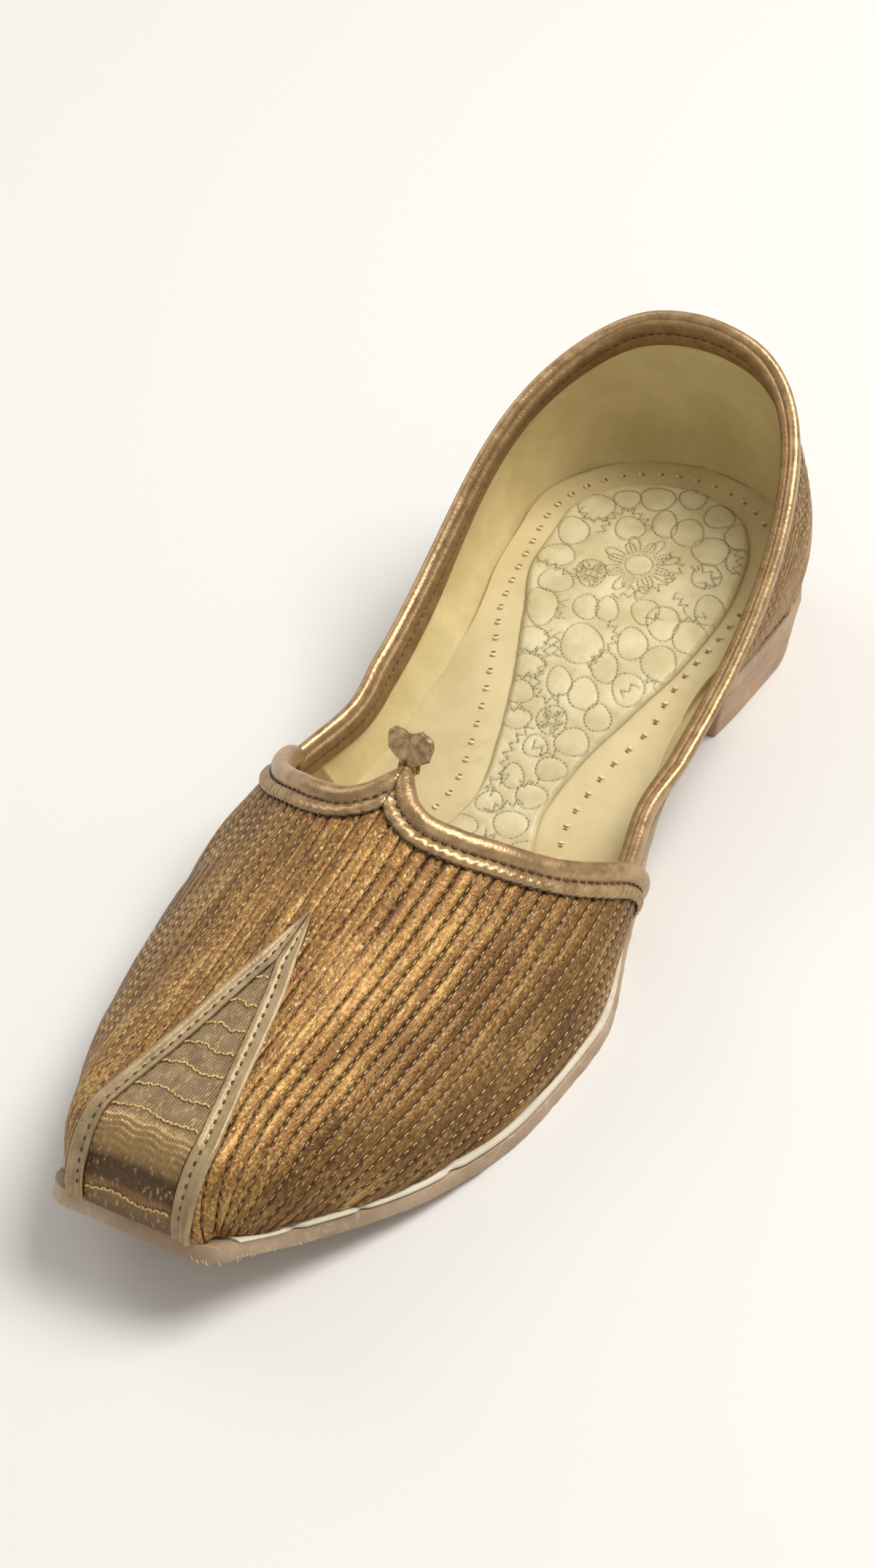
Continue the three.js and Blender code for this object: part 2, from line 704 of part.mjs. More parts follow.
const topline_section_flat = [
  [0.3, -3], [1.2, -3], [1.4, 0.2], [0.7, 1.4], [-1, 1.8], [-2.7, 1.4], [-3.4, 0.2], [-3.2, -3.8],
  [-3.2, -7.5], [-2.3, -7.5], [-2.3, -3.8], [-2.3, 0.3], [0.3, 0.3],
].map(([x, y]) => new THREE.Vector2(x, y));
const topline_end = 0.92;
const topline_walks = span(-topline_end, topline_end, topline_steps);
const topline_binding_raw = loft(topline_walks.map((walk) => toplineSection(walk)), topline_section_flat);
const topline_binding = largestOf(topline_binding_raw
  .subtract(vampShell(gap))
  .subtract(throatBinding(1, gap))
  .subtract(throatBinding(-1, gap)));

// Tab: a small fishtail that stands on the throat's point

function tabSolid() {
  const root = vampPoint(throatStation(0), 0, 0);
  const lean = THREE.MathUtils.degToRad(tab_lean);
  const rise = new THREE.Vector3(0, Math.sin(lean), Math.cos(lean));
  const thick = new THREE.Vector3(0, Math.cos(lean), -Math.sin(lean));
  const outline = [
    { half: 0.5 * tab_root_width, up: 0 },
    { half: 0.5 * tab_root_width, up: 0.3 },
    { half: 0.38 * tab_width, up: 0.6 },
    { half: 0.5 * tab_width, up: 0.9 },
    { half: 0.28 * tab_width, up: 1 },
  ];
  const right = outline.map(({ half, up }) => [half, up * tab_height]);
  const left = outline.slice().reverse().map(({ half, up }) => [-half, up * tab_height]);
  const flat = [...right, [0, tab_height - tab_notch], ...left];
  const place = (depth) => flat.map(([x, up]) => root.clone()
    .add(new THREE.Vector3(x, 0, 0))
    .addScaledVector(rise, tab_seat + up)
    .addScaledVector(thick, depth));
  const centre = 0.5 * wall;
  return loft([place(centre - tab_thickness / 2), place(centre + tab_thickness / 2)],
    flat.map(([x, y]) => new THREE.Vector2(x, y)));
}

// Toe triangle: two strips and the panel between them, laid on the vamp and turned down over the toe

// The place across the vamp where its surface is a given distance from the centre line
const halvings = 30;
function acrossAt(reach, distance) {
  let low = 0;
  let high = 1;
  for (let i = 0; i < halvings; i += 1) {
    const middle = (low + high) / 2;
    const { station } = noseAt(reach);
    if (vampSkin(reach, middle).x - centreLine(station) < distance) low = middle;
    else high = middle;
  }
  return (low + high) / 2;
}

const triangle_tip = triangle_edge[0].station;
const toe_turn = 0.97;
const triangle_reaches = [
  ...span(triangle_tip, nose_start, triangle_rows).slice(0, -1),
  ...span(nose_start, nose_start + toe_turn * nose_span, triangle_nose_rows),
];

function toeStrip(side) {
  const sheet = (lift) => triangle_reaches.map((reach) => {
    const outer = 0.5 * toe_width * triangleHalf(reach);
    const inner = Math.max(gap / 2, outer - strip_width);
    const distances = span(Math.max(outer, gap), inner, 2);
    return distances.map((distance) => vampPoint(reach, side * acrossAt(reach, distance), lift));
  });
  return slab(sheet(gap + strip_thickness), sheet(gap));
}

function toePanel() {
  const halfAt = (reach) => 0.5 * toe_width * triangleHalf(reach) - strip_width - gap;
  const reaches = triangle_reaches.filter((reach) => halfAt(reach) > 3 * gap);
  const sheet = (lift) => reaches.map((reach) => {
    const place = (t) => Math.sign(t) * acrossAt(reach, Math.abs(t) * halfAt(reach));
    return span(-1, 1, panel_columns).map((t) => vampPoint(reach, place(t), lift));
  });
  return slab(sheet(gap + panel_thickness), sheet(gap));
}

// Sole pieces

const sole_walks = [
  ...span(0, heel_walk, heel_steps).slice(0, -1),
  ...span(heel_walk, side_walk, side_steps).slice(0, -1),
  ...span(side_walk, corner_walk, corner_steps).slice(0, -1),
  corner_walk,
  1,
];

function outsole() {
  const level = (inset, height) => ringAt(sole_walks, inset, (station) => soleBottom(station) + height);
  return stack([
    level(sole_edge_rounding, 0),
    level(0, sole_edge_rounding),
    level(0, sole_thickness - sole_edge_rounding / 2),
    level(sole_edge_rounding / 2, sole_thickness),
  ]);
}

function heelBlock() {
  const last_station = stationAt(lengthwise(1) + toe_corner_radius);
  const last = heel_walk + (side_walk - heel_walk)
    * (heel_length / shoe_length - heel_centre) / (last_station - heel_centre);
  const walks = [
    ...span(0, heel_walk, heel_steps).slice(0, -1),
    ...span(heel_walk, last, heel_side_steps),
  ];
  const level = (inset, height) => {
    const place = (walk, side) => {
      const flat = outlinePoint(walk, side, inset);
      return new THREE.Vector3(flat.x, flat.y, height);
    };
    const breast = new THREE.Vector3(0, place(last, 1).y + breast_hollow, height);
    const outer = walks.map((walk) => place(walk, 1));
    const inner = walks.slice(1).reverse().map((walk) => place(walk, -1));
    return [...outer, breast, ...inner];
  };
  return stack([
    level(heel_taper + heel_edge_rounding, 0),
    level(heel_taper, heel_edge_rounding),
    level(gap, heel_height - gap),
  ]);
}

function weltStrip(side) {
  const first = heel_walk + (side_walk - heel_walk) * (welt_start - heel_centre) / (1 - heel_centre);
  const last = heel_walk + (side_walk - heel_walk) * (welt_end - heel_centre) / (1 - heel_centre);
  const section = (walk) => {
    const outer = outlinePoint(walk, side, welt_inset);
    const inner = outlinePoint(walk, side, welt_inset + welt_width);
    const low = soleTop(stationAt(outer.y)) + gap;
    const high = low + Math.max(gap, welt_thickness * weltShare(stationAt(outer.y)));
    return [
      new THREE.Vector3(outer.x, outer.y, low), new THREE.Vector3(outer.x, outer.y, high),
      new THREE.Vector3(inner.x, inner.y, high), new THREE.Vector3(inner.x, inner.y, low),
    ];
  };
  const flat = [[0, 0], [0, 1], [1, 1], [1, 0]].map(([x, y]) => new THREE.Vector2(x, y));
  return loft(span(first, last, welt_steps).map(section), flat);
}

const insole_inset = feather_inset + wall + insole_clearance;
const wedge_end = 0.34;
function insoleTop(station) {
  return soleTop(station) + gap + insole_thickness + insole_wedge * (1 - ease(0, wedge_end, station));
}

function insole() {
  const level = (inset, height) => ringAt(sole_walks, insole_inset + inset, height);
  return stack([
    level(0, (station) => soleTop(station) + gap),
    level(0, (station) => insoleTop(station) - insole_rounding),
    level(insole_rounding, insoleTop),
  ]);
}

const pad_point_half = 0.2;
function insolePad() {
  const innerEdge = smoothColumn(pad_sections, 'station', 'inner');
  const outerEdge = smoothColumn(pad_sections, 'station', 'outer');
  const first = pad_sections[0].station;
  const last = pad_sections[pad_sections.length - 1].station;
  const stations = span(0, 1, pad_steps).map((t) => mix(first, last, t ** pad_crowding));
  const level = (inset, height) => {
    const point = (station, half) => {
      const x = Math.sign(half) * Math.max(pad_point_half, Math.abs(half) - inset) + centreLine(station);
      const y = lengthwise(station) - inset * (0.5 - station) * 2;
      return new THREE.Vector3(x, y, insoleTop(stationAt(y)) + gap + height);
    };
    const back = point(first, pad_point_half);
    const front = point(last, pad_point_half);
    const outerAt = (station) => point(station, 0.5 * ball_width * outerEdge(station));
    const innerAt = (station) => point(station, -0.5 * ball_width * innerEdge(station));
    const outer = stations.slice(1).map(outerAt);
    const inner = stations.slice(1).reverse().map(innerAt);
    return [back, ...outer, front, ...inner];
  };
  return stack([level(0, 0), level(0, pad_thickness - pad_edge / 2), level(pad_edge, pad_thickness)]);
}

const shoe = new THREE.Group();
shoe.add(meshOf('outsole', materials.tan_leather, outsole()));
shoe.add(meshOf('heel', materials.tan_leather, heelBlock()));
shoe.add(meshOf('welt_outer', materials.cream_leather, weltStrip(1)));
shoe.add(meshOf('welt_inner', materials.cream_leather, weltStrip(-1)));
shoe.add(meshOf('upper', materials.brocade, upper));
shoe.add(meshOf('throat_binding_outer', materials.foil_leather, throat_bindings[0]));
shoe.add(meshOf('throat_binding_inner', materials.foil_leather, throat_bindings[1]));
shoe.add(meshOf('topline_binding', materials.foil_leather, topline_binding));
shoe.add(meshOf('throat_tab', materials.foil_leather, tabSolid()));
shoe.add(meshOf('toe_strip_outer', materials.pale_leather, toeStrip(1)));
shoe.add(meshOf('toe_strip_inner', materials.pale_leather, toeStrip(-1)));
shoe.add(meshOf('toe_panel', materials.ribbed_cloth, toePanel()));
shoe.add(meshOf('insole', materials.cream_leather, insole()));
shoe.add(meshOf('insole_pad', materials.cream_leather, insolePad()));

// The origin is the middle of the shoe's box, on the ground
const bounds = new THREE.Box3().setFromObject(shoe);
const middle = bounds.getCenter(new THREE.Vector3());
shoe.position.set(-middle.x, -middle.y, -bounds.min.z);

export default shoe;
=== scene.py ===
import math
import random

import bpy
import numpy as np
from mathutils import Matrix, Vector, kdtree, noise


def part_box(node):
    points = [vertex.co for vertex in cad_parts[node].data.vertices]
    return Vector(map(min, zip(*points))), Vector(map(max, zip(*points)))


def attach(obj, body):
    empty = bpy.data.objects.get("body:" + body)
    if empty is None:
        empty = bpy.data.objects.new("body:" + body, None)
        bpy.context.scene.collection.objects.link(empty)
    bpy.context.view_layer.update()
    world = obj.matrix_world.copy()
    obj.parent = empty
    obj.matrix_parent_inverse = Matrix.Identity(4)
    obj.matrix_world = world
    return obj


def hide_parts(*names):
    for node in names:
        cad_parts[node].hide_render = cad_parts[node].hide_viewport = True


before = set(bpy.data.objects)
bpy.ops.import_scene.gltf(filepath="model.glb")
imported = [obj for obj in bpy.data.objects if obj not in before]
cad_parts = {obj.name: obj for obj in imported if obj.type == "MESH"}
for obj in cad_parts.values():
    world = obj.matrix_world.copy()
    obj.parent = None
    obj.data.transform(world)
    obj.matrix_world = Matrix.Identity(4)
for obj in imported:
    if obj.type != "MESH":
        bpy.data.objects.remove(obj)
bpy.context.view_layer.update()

bpy.ops.object.select_all(action="DESELECT")

# Outsole
# One cut of tan sole leather, 4 mm thick, flat under the ball, risen at the arch and the toe.
# Its edge is trimmed and burnished by hand, and it is sewn on through a shallow channel.
MM = 0.001
shoe_length = 280.0
ball_width = 107.0
waist_width = 66.0
heel_width = 77.0
toe_width = 37.0
toe_corner_radius = 4.0
sole_corner_radius = 7.0
toe_swing = 7.0
toe_spring = 20.0
heel_height = 15.0
heel_length = 68.0
sole_thickness = 4.0
heel_centre = 0.13
swing_start = 0.42
swing_power = 1.6
arch_end = 0.5
spring_start = 0.7
heel_walk = 0.22
side_walk = 0.9
corner_walk = 0.97
least_corner_radius = 0.5
slope_probe = 0.005
sole_sections = [
    (heel_centre, 0.5 * heel_width), (0.2, 0.475 * heel_width), (0.3, 0.5 * waist_width),
    (0.38, 0.53 * waist_width), (0.5, 0.41 * ball_width), (0.62, 0.5 * ball_width),
    (0.72, 0.484 * ball_width), (0.82, 0.417 * ball_width), (0.92, 0.292 * ball_width),
    (1.0, 0.5 * toe_width),
]


def clamp01(value):
    return np.clip(value, 0.0, 1.0)


def ease(start, end, value):
    t = clamp01((value - start) / (end - start))
    return t * t * (3 - 2 * t)


def mix(low, high, t):
    return low + (high - low) * t


def smooth_curve(rows, column=1):
    """A curve through the rows of a table that never overshoots them"""
    xs = np.array([row[0] for row in rows], float)
    ys = np.array([row[column] for row in rows], float)
    steps = np.diff(ys) / np.diff(xs)
    slopes = np.zeros(len(xs))
    slopes[0] = steps[0]
    slopes[-1] = steps[-1]
    for i in range(1, len(xs) - 1):
        if steps[i - 1] * steps[i] > 0:
            before = xs[i] - xs[i - 1]
            after = xs[i + 1] - xs[i]
            first = 2 * after + before
            second = after + 2 * before
            slopes[i] = (first + second) / (first / steps[i - 1] + second / steps[i])

    def curve(x):
        x = np.clip(x, xs[0], xs[-1])
        i = np.clip(np.searchsorted(xs, x, side="right") - 1, 0, len(xs) - 2)
        width = xs[i + 1] - xs[i]
        t = (x - xs[i]) / width
        start = ys[i] * (1 + 2 * t) * (1 - t) ** 2 + slopes[i] * width * t * (1 - t) ** 2
        return start + ys[i + 1] * t * t * (3 - 2 * t) + slopes[i + 1] * width * t * t * (t - 1)

    return curve


sole_half = smooth_curve(sole_sections)


def lengthwise(station):
    return shoe_length * (0.5 - station)


def station_at(y):
    return 0.5 - y / shoe_length


def centre_line(station):
    return -toe_swing * clamp01((station - swing_start) / (1 - swing_start)) ** swing_power


def sole_bottom(station):
    arch = heel_height * (1 - ease(heel_length / shoe_length, arch_end, station))
    return arch + toe_spring * clamp01((station - spring_start) / (1 - spring_start)) ** 2


def sole_top(station):
    return sole_bottom(station) + sole_thickness


def sole_outline(walk, side, inset=0.0):
    """Plan of the sole's edge, set in by a distance; walk runs from the back to the toe's corner"""
    walk, side, inset = np.broadcast_arrays(
        np.asarray(walk, float), np.asarray(side, float), np.asarray(inset, float)
    )
    front = lengthwise(1.0) + inset
    radius = np.maximum(least_corner_radius, sole_corner_radius - inset)
    last = station_at(front + radius)

    def side_half(station):
        widening = sole_half(station + slope_probe) - sole_half(station - slope_probe)
        slope = widening / (2 * slope_probe * shoe_length)
        return sole_half(station) - inset * np.sqrt(1 + slope * slope)

    heel_turn = clamp01(walk / heel_walk) * np.pi / 2
    heel_x = (sole_half(heel_centre) - inset) * np.sin(heel_turn)
    heel_y = lengthwise(heel_centre) + (heel_centre * shoe_length - inset) * np.cos(heel_turn)
    station = mix(heel_centre, last, clamp01((walk - heel_walk) / (side_walk - heel_walk)))
    corner_turn = clamp01((walk - side_walk) / (corner_walk - side_walk)) * np.pi / 2
    corner_x = side_half(last) - radius + radius * np.cos(corner_turn)
    corner_y = front + radius * (1 - np.sin(corner_turn))
    on_heel = walk <= heel_walk
    on_side = walk <= side_walk
    y = np.where(on_heel, heel_y, np.where(on_side, lengthwise(station), corner_y))
    x = np.where(on_heel, heel_x, np.where(on_side, side_half(station), corner_x))
    return side * x + centre_line(station_at(y)), y


edge_x, edge_y = sole_outline(np.linspace(0, corner_walk, 400), -1.0)
outsole_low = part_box("outsole")[0]
shift = np.array([outsole_low.x / MM - edge_x.min(), outsole_low.y / MM - lengthwise(1.0), 0.0])


def activate(piece):
    bpy.ops.object.select_all(action="DESELECT")
    piece.select_set(True)
    bpy.context.view_layer.objects.active = piece


def places_of(piece):
    co = np.empty(len(piece.data.vertices) * 3, np.float32)
    piece.data.vertices.foreach_get("co", co)
    return co.reshape(-1, 3).astype(float)


def move_to(piece, points):
    """Puts a piece's points at places that are given in the shoe's own millimetres"""
    placed = ((points + shift) * MM).astype(np.float32)
    piece.data.vertices.foreach_set("co", placed.ravel())
    piece.data.update()


def lay_grid(name, columns, rows, place):
    """A flat grid laid on the shoe: place(u, v) gives its points and, if it has one, its cloth map"""
    bpy.ops.mesh.primitive_grid_add(x_subdivisions=columns, y_subdivisions=rows, size=1.0)
    piece = bpy.context.object
    piece.name = name
    piece.data.name = name
    flat = places_of(piece)
    placed = place(flat[:, 0] + 0.5, flat[:, 1] + 0.5)
    points, cloth = placed if isinstance(placed, tuple) else (placed, None)
    move_to(piece, points)
    if cloth is not None:
        thread_map = piece.data.attributes.new("cloth", "FLOAT_VECTOR", "POINT")
        thread_map.data.foreach_set("vector", cloth.astype(np.float32).ravel())
    return piece


def turn_faces(piece, away_from=None, towards=None):
    """Turns an open sheet's faces away from, or towards, a point inside the shoe"""
    point = np.array(away_from if towards is None else towards, float)
    point = Vector((point + shift) * MM)
    facing = sum(f.normal.dot(f.center - point) * f.area for f in piece.data.polygons)
    if (facing < 0) == (towards is None):
        activate(piece)
        bpy.ops.object.mode_set(mode="EDIT")
        bpy.ops.mesh.select_all(action="SELECT")
        bpy.ops.mesh.flip_normals()
        bpy.ops.object.mode_set(mode="OBJECT")


def weld(piece, fill=True):
    """Joins the points that meet, closes what is open and turns every face outwards"""
    activate(piece)
    bpy.ops.object.mode_set(mode="EDIT")
    bpy.ops.mesh.select_all(action="SELECT")
    bpy.ops.mesh.remove_doubles(threshold=0.000003)
    if fill:
        bpy.ops.mesh.select_all(action="SELECT")
        bpy.ops.mesh.fill_holes(sides=0)
        bpy.ops.mesh.select_all(action="SELECT")
        bpy.ops.mesh.normals_make_consistent(inside=False)
    bpy.ops.object.mode_set(mode="OBJECT")


def finish_with(piece, kind, **settings):
    """Adds a modifier with these settings and applies it"""
    activate(piece)
    modifier = piece.modifiers.new(kind.lower(), kind)
    for key, value in settings.items():
        setattr(modifier, key, value)
    bpy.ops.object.modifier_apply(modifier=modifier.name)


def thicken(piece, thickness):
    """Gives an open sheet its thickness, behind its faces"""
    finish_with(piece, "SOLIDIFY", thickness=thickness * MM, offset=-1.0, use_even_offset=False)


def round_edges(piece, width, segments=2, angle=50.0):
    finish_with(piece, "BEVEL", width=width * MM, segments=segments, limit_method="ANGLE",
                angle_limit=math.radians(angle), use_clamp_overlap=True)


def smooth_faces(piece, angle=38.0):
    activate(piece)
    bpy.ops.object.shade_smooth_by_angle(angle=math.radians(angle))


def ripples(points, size, seed):
    """Soft noise from -1 to 1 at each point, with waves of about a size in millimetres"""
    start = Vector((seed * 13.7, seed * 5.1, seed * 9.3))
    return np.array([noise.noise(Vector(p) / size + start) for p in points])


def sole_sheet(inset, u, v):
    """A sheet over the sole's outline, at its underside"""
    walk = v * corner_walk
    left_x, y = sole_outline(walk, -1.0, inset)
    right_x, _ = sole_outline(walk, 1.0, inset)
    x = mix(left_x, right_x, u)
    return np.stack([x, y, sole_bottom(station_at(y))], -1)


def add_node(tree, kind, values=None, **settings):
    node = tree.nodes.new(kind)
    for key, value in settings.items():
        setattr(node, key, value)
    for key, value in (values or {}).items():
        node.inputs[key].default_value = value
    return node


def calculate(tree, operation, first, second=None, clamp=False):
    """A Math node; each input is a socket or a number"""
    node = add_node(tree, "ShaderNodeMath", operation=operation, use_clamp=clamp)
    for place, value in ((0, first), (1, second)):
        if isinstance(value, bpy.types.NodeSocket):
            tree.links.new(value, node.inputs[place])
        elif value is not None:
            node.inputs[place].default_value = value
    return node.outputs[0]


def blend_colours(tree, share, first, second):
    """A colour Mix node; share, first and second are sockets or values"""
    node = add_node(tree, "ShaderNodeMix", data_type="RGBA", blend_type="MIX")
    for place, value in ((0, share), (6, first), (7, second)):
        if isinstance(value, bpy.types.NodeSocket):
            tree.links.new(value, node.inputs[place])
        elif place == 0:
            node.inputs[place].default_value = value
        else:
            node.inputs[place].default_value = (*value, 1.0)
    return node.outputs[2]


def ramp(tree, share, stops):
    """A smooth run of values or colours along a share from 0 to 1"""
    node = add_node(tree, "ShaderNodeValToRGB")
    node.color_ramp.interpolation = "EASE"
    elements = node.color_ramp.elements
    while len(elements) < len(stops):
        elements.new(0.5)
    for element, (place, value) in zip(elements, stops):
        element.position = place
        colour = value if isinstance(value, tuple) else (value, value, value)
        element.color = (*colour, 1.0)
    tree.links.new(share, node.inputs[0])
    return node.outputs[0]


def stretched(tree, vector, scale):
    node = add_node(tree, "ShaderNodeMapping", {"Scale": scale})
    tree.links.new(vector, node.inputs["Vector"])
    return node.outputs[0]


def textured(tree, kind, vector, values=None, **settings):
    node = add_node(tree, kind, values, **settings)
    tree.links.new(vector, node.inputs["Vector"])
    return node


def new_group(name, inputs, outputs):
    """A shader node group with a vector and numbers going in, and numbers coming out"""
    tree = bpy.data.node_groups.new(name, "ShaderNodeTree")
    for label, kind, value in inputs:
        socket = tree.interface.new_socket(label, in_out="INPUT", socket_type=kind)
        if value is not None:
            socket.default_value = value
    for label in outputs:
        tree.interface.new_socket(label, in_out="OUTPUT", socket_type="NodeSocketFloat")
    return tree, tree.nodes.new("NodeGroupInput"), tree.nodes.new("NodeGroupOutput")


def place_group(tree, group, vector, values=None):
    node = tree.nodes.new("ShaderNodeGroup")
    node.node_tree = group
    tree.links.new(vector, node.inputs["Vector"])
    for key, value in (values or {}).items():
        node.inputs[key].default_value = value
    return node


def new_material(name, settings):
    """A material whose shader has these plain values; returns it, its tree and its shader"""
    made = bpy.data.materials.new(name)
    made.use_nodes = True
    shader = made.node_tree.nodes["Principled BSDF"]
    for key, value in settings.items():
        shader.inputs[key].default_value = value
    return made, made.node_tree, shader


def bump_into(tree, shader, height, distance):
    """Feeds a height in millimetres to the shader's normal"""
    node = add_node(tree, "ShaderNodeBump", {"Distance": distance * MM, "Strength": 1.0})
    tree.links.new(height, node.inputs["Height"])
    tree.links.new(node.outputs["Normal"], shader.inputs["Normal"])


def object_place(tree):
    return add_node(tree, "ShaderNodeTexCoord").outputs["Object"]


# Fine pores and creases of leather, and its uneven tone
leather_grain, grain_in, grain_out = new_group(
    "leather grain",
    [("Vector", "NodeSocketVector", None), ("Scale", "NodeSocketFloat", 900.0),
     ("Unevenness", "NodeSocketFloat", 60.0)],
    ["Height", "Tone"],
)
pores = textured(leather_grain, "ShaderNodeTexVoronoi", grain_in.outputs["Vector"],
                 feature="SMOOTH_F1")
leather_grain.links.new(grain_in.outputs["Scale"], pores.inputs["Scale"])
creases = textured(leather_grain, "ShaderNodeTexNoise", grain_in.outputs["Vector"],
                   {"Detail": 4.0, "Roughness": 0.6})
leather_grain.links.new(grain_in.outputs["Unevenness"], creases.inputs["Scale"])
grain_height = calculate(leather_grain, "MULTIPLY_ADD", pores.outputs["Distance"], 0.6)
leather_grain.links.new(creases.outputs[0], grain_height.node.inputs[2])
leather_grain.links.new(grain_height, grain_out.inputs["Height"])
leather_grain.links.new(creases.outputs[0], grain_out.inputs["Tone"])

# Scuffs and dust: patches with broken edges
scuffs, scuffs_in, scuffs_out = new_group(
    "scuffs",
    [("Vector", "NodeSocketVector", None), ("Scale", "NodeSocketFloat", 120.0),
     ("Amount", "NodeSocketFloat", 0.4)],
    ["Mask"],
)
scuff_noise = textured(scuffs, "ShaderNodeTexNoise", scuffs_in.outputs["Vector"],
                       {"Detail": 8.0, "Roughness": 0.72, "Distortion": 0.6})
scuffs.links.new(scuffs_in.outputs["Scale"], scuff_noise.inputs["Scale"])
scuff_rise = calculate(scuffs, "ADD", scuff_noise.outputs[0], scuffs_in.outputs["Amount"])
scuff_mask = calculate(scuffs, "MULTIPLY", calculate(scuffs, "SUBTRACT", scuff_rise, 0.9), 6.0,
                       clamp=True)
scuffs.links.new(scuff_mask, scuffs_out.inputs["Mask"])


def leather_material(name, settings, grain_values, tones, bump, rubbed=None, gloss=None):
    """Grained leather between two tones; rubbed gives the values and the colour of its worn
    patches, and gloss the roughness along its tone"""
    made, tree, shader = new_material(name, settings)
    grain = place_group(tree, leather_grain, object_place(tree), grain_values)
    tone = ramp(tree, grain.outputs["Tone"], [(0.3, tones[0]), (0.7, tones[1])])
    if rubbed is not None:
        worn = place_group(tree, scuffs, object_place(tree), rubbed[0])
        tone = blend_colours(tree, worn.outputs["Mask"], tone, rubbed[1])
    tree.links.new(tone, shader.inputs["Base Color"])
    if gloss is not None:
        tree.links.new(ramp(tree, grain.outputs["Tone"], gloss), shader.inputs["Roughness"])
    bump_into(tree, shader, grain.outputs["Height"], bump)
    return made


def hand_over(piece, material, node=None):
    """Gives a finished piece its material and body, and hides the node that it stands for"""
    piece.data.materials.append(material)
    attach(piece, "root")
    if node is not None:
        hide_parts(node)


tan_leather, tree, shader = new_material("tan sole leather", {})
grain = place_group(tree, leather_grain, object_place(tree), {"Scale": 1100.0})
rubbed = place_group(tree, scuffs, object_place(tree), {"Scale": 160.0, "Amount": 0.36})
tone = ramp(tree, grain.outputs["Tone"],
            [(0.3, (0.31, 0.205, 0.12)), (0.7, (0.46, 0.33, 0.21))])
tree.links.new(blend_colours(tree, rubbed.outputs["Mask"], tone, (0.58, 0.46, 0.33)),
               shader.inputs["Base Color"])
tree.links.new(ramp(tree, rubbed.outputs["Mask"], [(0.0, 0.5), (1.0, 0.8)]),
               shader.inputs["Roughness"])
bump_into(tree, shader, grain.outputs["Height"], 0.12)


def outsole_place(u, v):
    points = sole_sheet(0.0, u, v)
    frayed = np.abs(2 * u - 1) ** 12
    points[:, 0] += 0.25 * frayed * ripples(points, 3.0, 1)
    return points


outsole = lay_grid("outsole_leather", 28, 170, outsole_place)
weld(outsole, fill=False)
turn_faces(outsole, away_from=(0, 0, 90))
thicken(outsole, sole_thickness)
round_edges(outsole, 0.6)
smooth_faces(outsole)
hand_over(outsole, tan_leather, "outsole")

# Tread stitches
# A waxed thread that holds the sole, in a channel 5 mm in from the edge of the tread.
tread_inset = 5.5
tread_stitch = 3.2
channel_lift = 0.12
heel_clearance = 3.0
waxed_thread = leather_material("waxed thread", {"Roughness": 0.7}, {"Scale": 2400.0},
                                [(0.36, 0.27, 0.17), (0.58, 0.47, 0.33)], 0.08)

bpy.ops.mesh.primitive_uv_sphere_add(segments=6, ring_count=3, radius=1.0)
stitch_form = bpy.context.object
stitch_points = places_of(stitch_form)[:, [2, 0, 1]]
stitch_faces = [tuple(f.vertices) for f in stitch_form.data.polygons]
bpy.data.objects.remove(stitch_form)


def unit(vectors):
    return vectors / np.linalg.norm(vectors, axis=-1, keepdims=True)


def lengths_along(path):
    """How far each point of a path is from its start, measured along the path"""
    return np.concatenate([[0], np.cumsum(np.linalg.norm(np.diff(path, axis=0), axis=-1))])


def point_along(path, lengths, place):
    return np.stack([np.interp(place, lengths, column) for column in path.T], -1)


def sew(name, stitches):
    """One mesh of many stitches; each is its centre, the way that it runs, the way that it
    stands up, and its half length, half width and half height"""
    points = []
    faces = []
    for centre, along, up, half_length, half_width, half_height in stitches:
        along = unit(along)
        up = unit(up - along * (up @ along))
        over = np.cross(up, along)
        own = np.stack([along * half_length, over * half_width, up * half_height])
        start = len(points) * len(stitch_points)
        points.append(centre + stitch_points @ own)
        faces.extend(tuple(i + start for i in face) for face in stitch_faces)
    mesh = bpy.data.meshes.new(name)
    mesh.from_pydata([(0, 0, 0)] * (len(points) * len(stitch_points)), [], faces)
    piece = bpy.data.objects.new(name, mesh)
    bpy.context.scene.collection.objects.link(piece)
    move_to(piece, np.concatenate(points))
    activate(piece)
    bpy.ops.object.shade_smooth()
    return piece


def stitch_row(path, normals, pitch, share, half_width, half_height, start=0.0):
    """Stitches at a pitch along a path of points; share is how much of the pitch shows thread"""
    lengths = lengths_along(path)
    made = []
    place = start + pitch / 2
    while place + pitch / 2 < lengths[-1]:
        ends = [point_along(path, lengths, place + d) for d in (-pitch * share / 2, pitch * share / 2)]
        up = point_along(normals, lengths, place)
        half = np.linalg.norm(ends[1] - ends[0]) / 2
        if half > 0.05:
            made.append(((ends[0] + ends[1]) / 2, ends[1] - ends[0], up, half, half_width, half_height))
        place += pitch
    return made


tread_rows = []
for side in (-1.0, 1.0):
    tread_x, tread_y = sole_outline(np.linspace(0.0, corner_walk, 260), side, tread_inset)
    tread_z = sole_bottom(station_at(tread_y)) + channel_lift
    tread_path = np.stack([tread_x, tread_y, tread_z], -1)
    before_heel = tread_y < lengthwise(heel_length / shoe_length) - heel_clearance
    tread_path = tread_path[before_heel]
    down = np.tile([0.0, 0.0, -1.0], (len(tread_path), 1))
    tread_rows += stitch_row(tread_path, down, tread_stitch, 0.75, 0.35, 0.12)
tread_stitches = sew("tread_stitches", tread_rows)
hand_over(tread_stitches, waxed_thread)

# Heel
# A low block of leather lifts, pegged under the seat; it tapers to the floor and its face
# under the arch is cut a little hollow.
heel_taper = 2.8
lift_heights = (4.6, 9.6)
lift_groove = 0.22
lift_groove_width = 0.35
heel_gap = 0.3
heel_top = heel_height - heel_gap

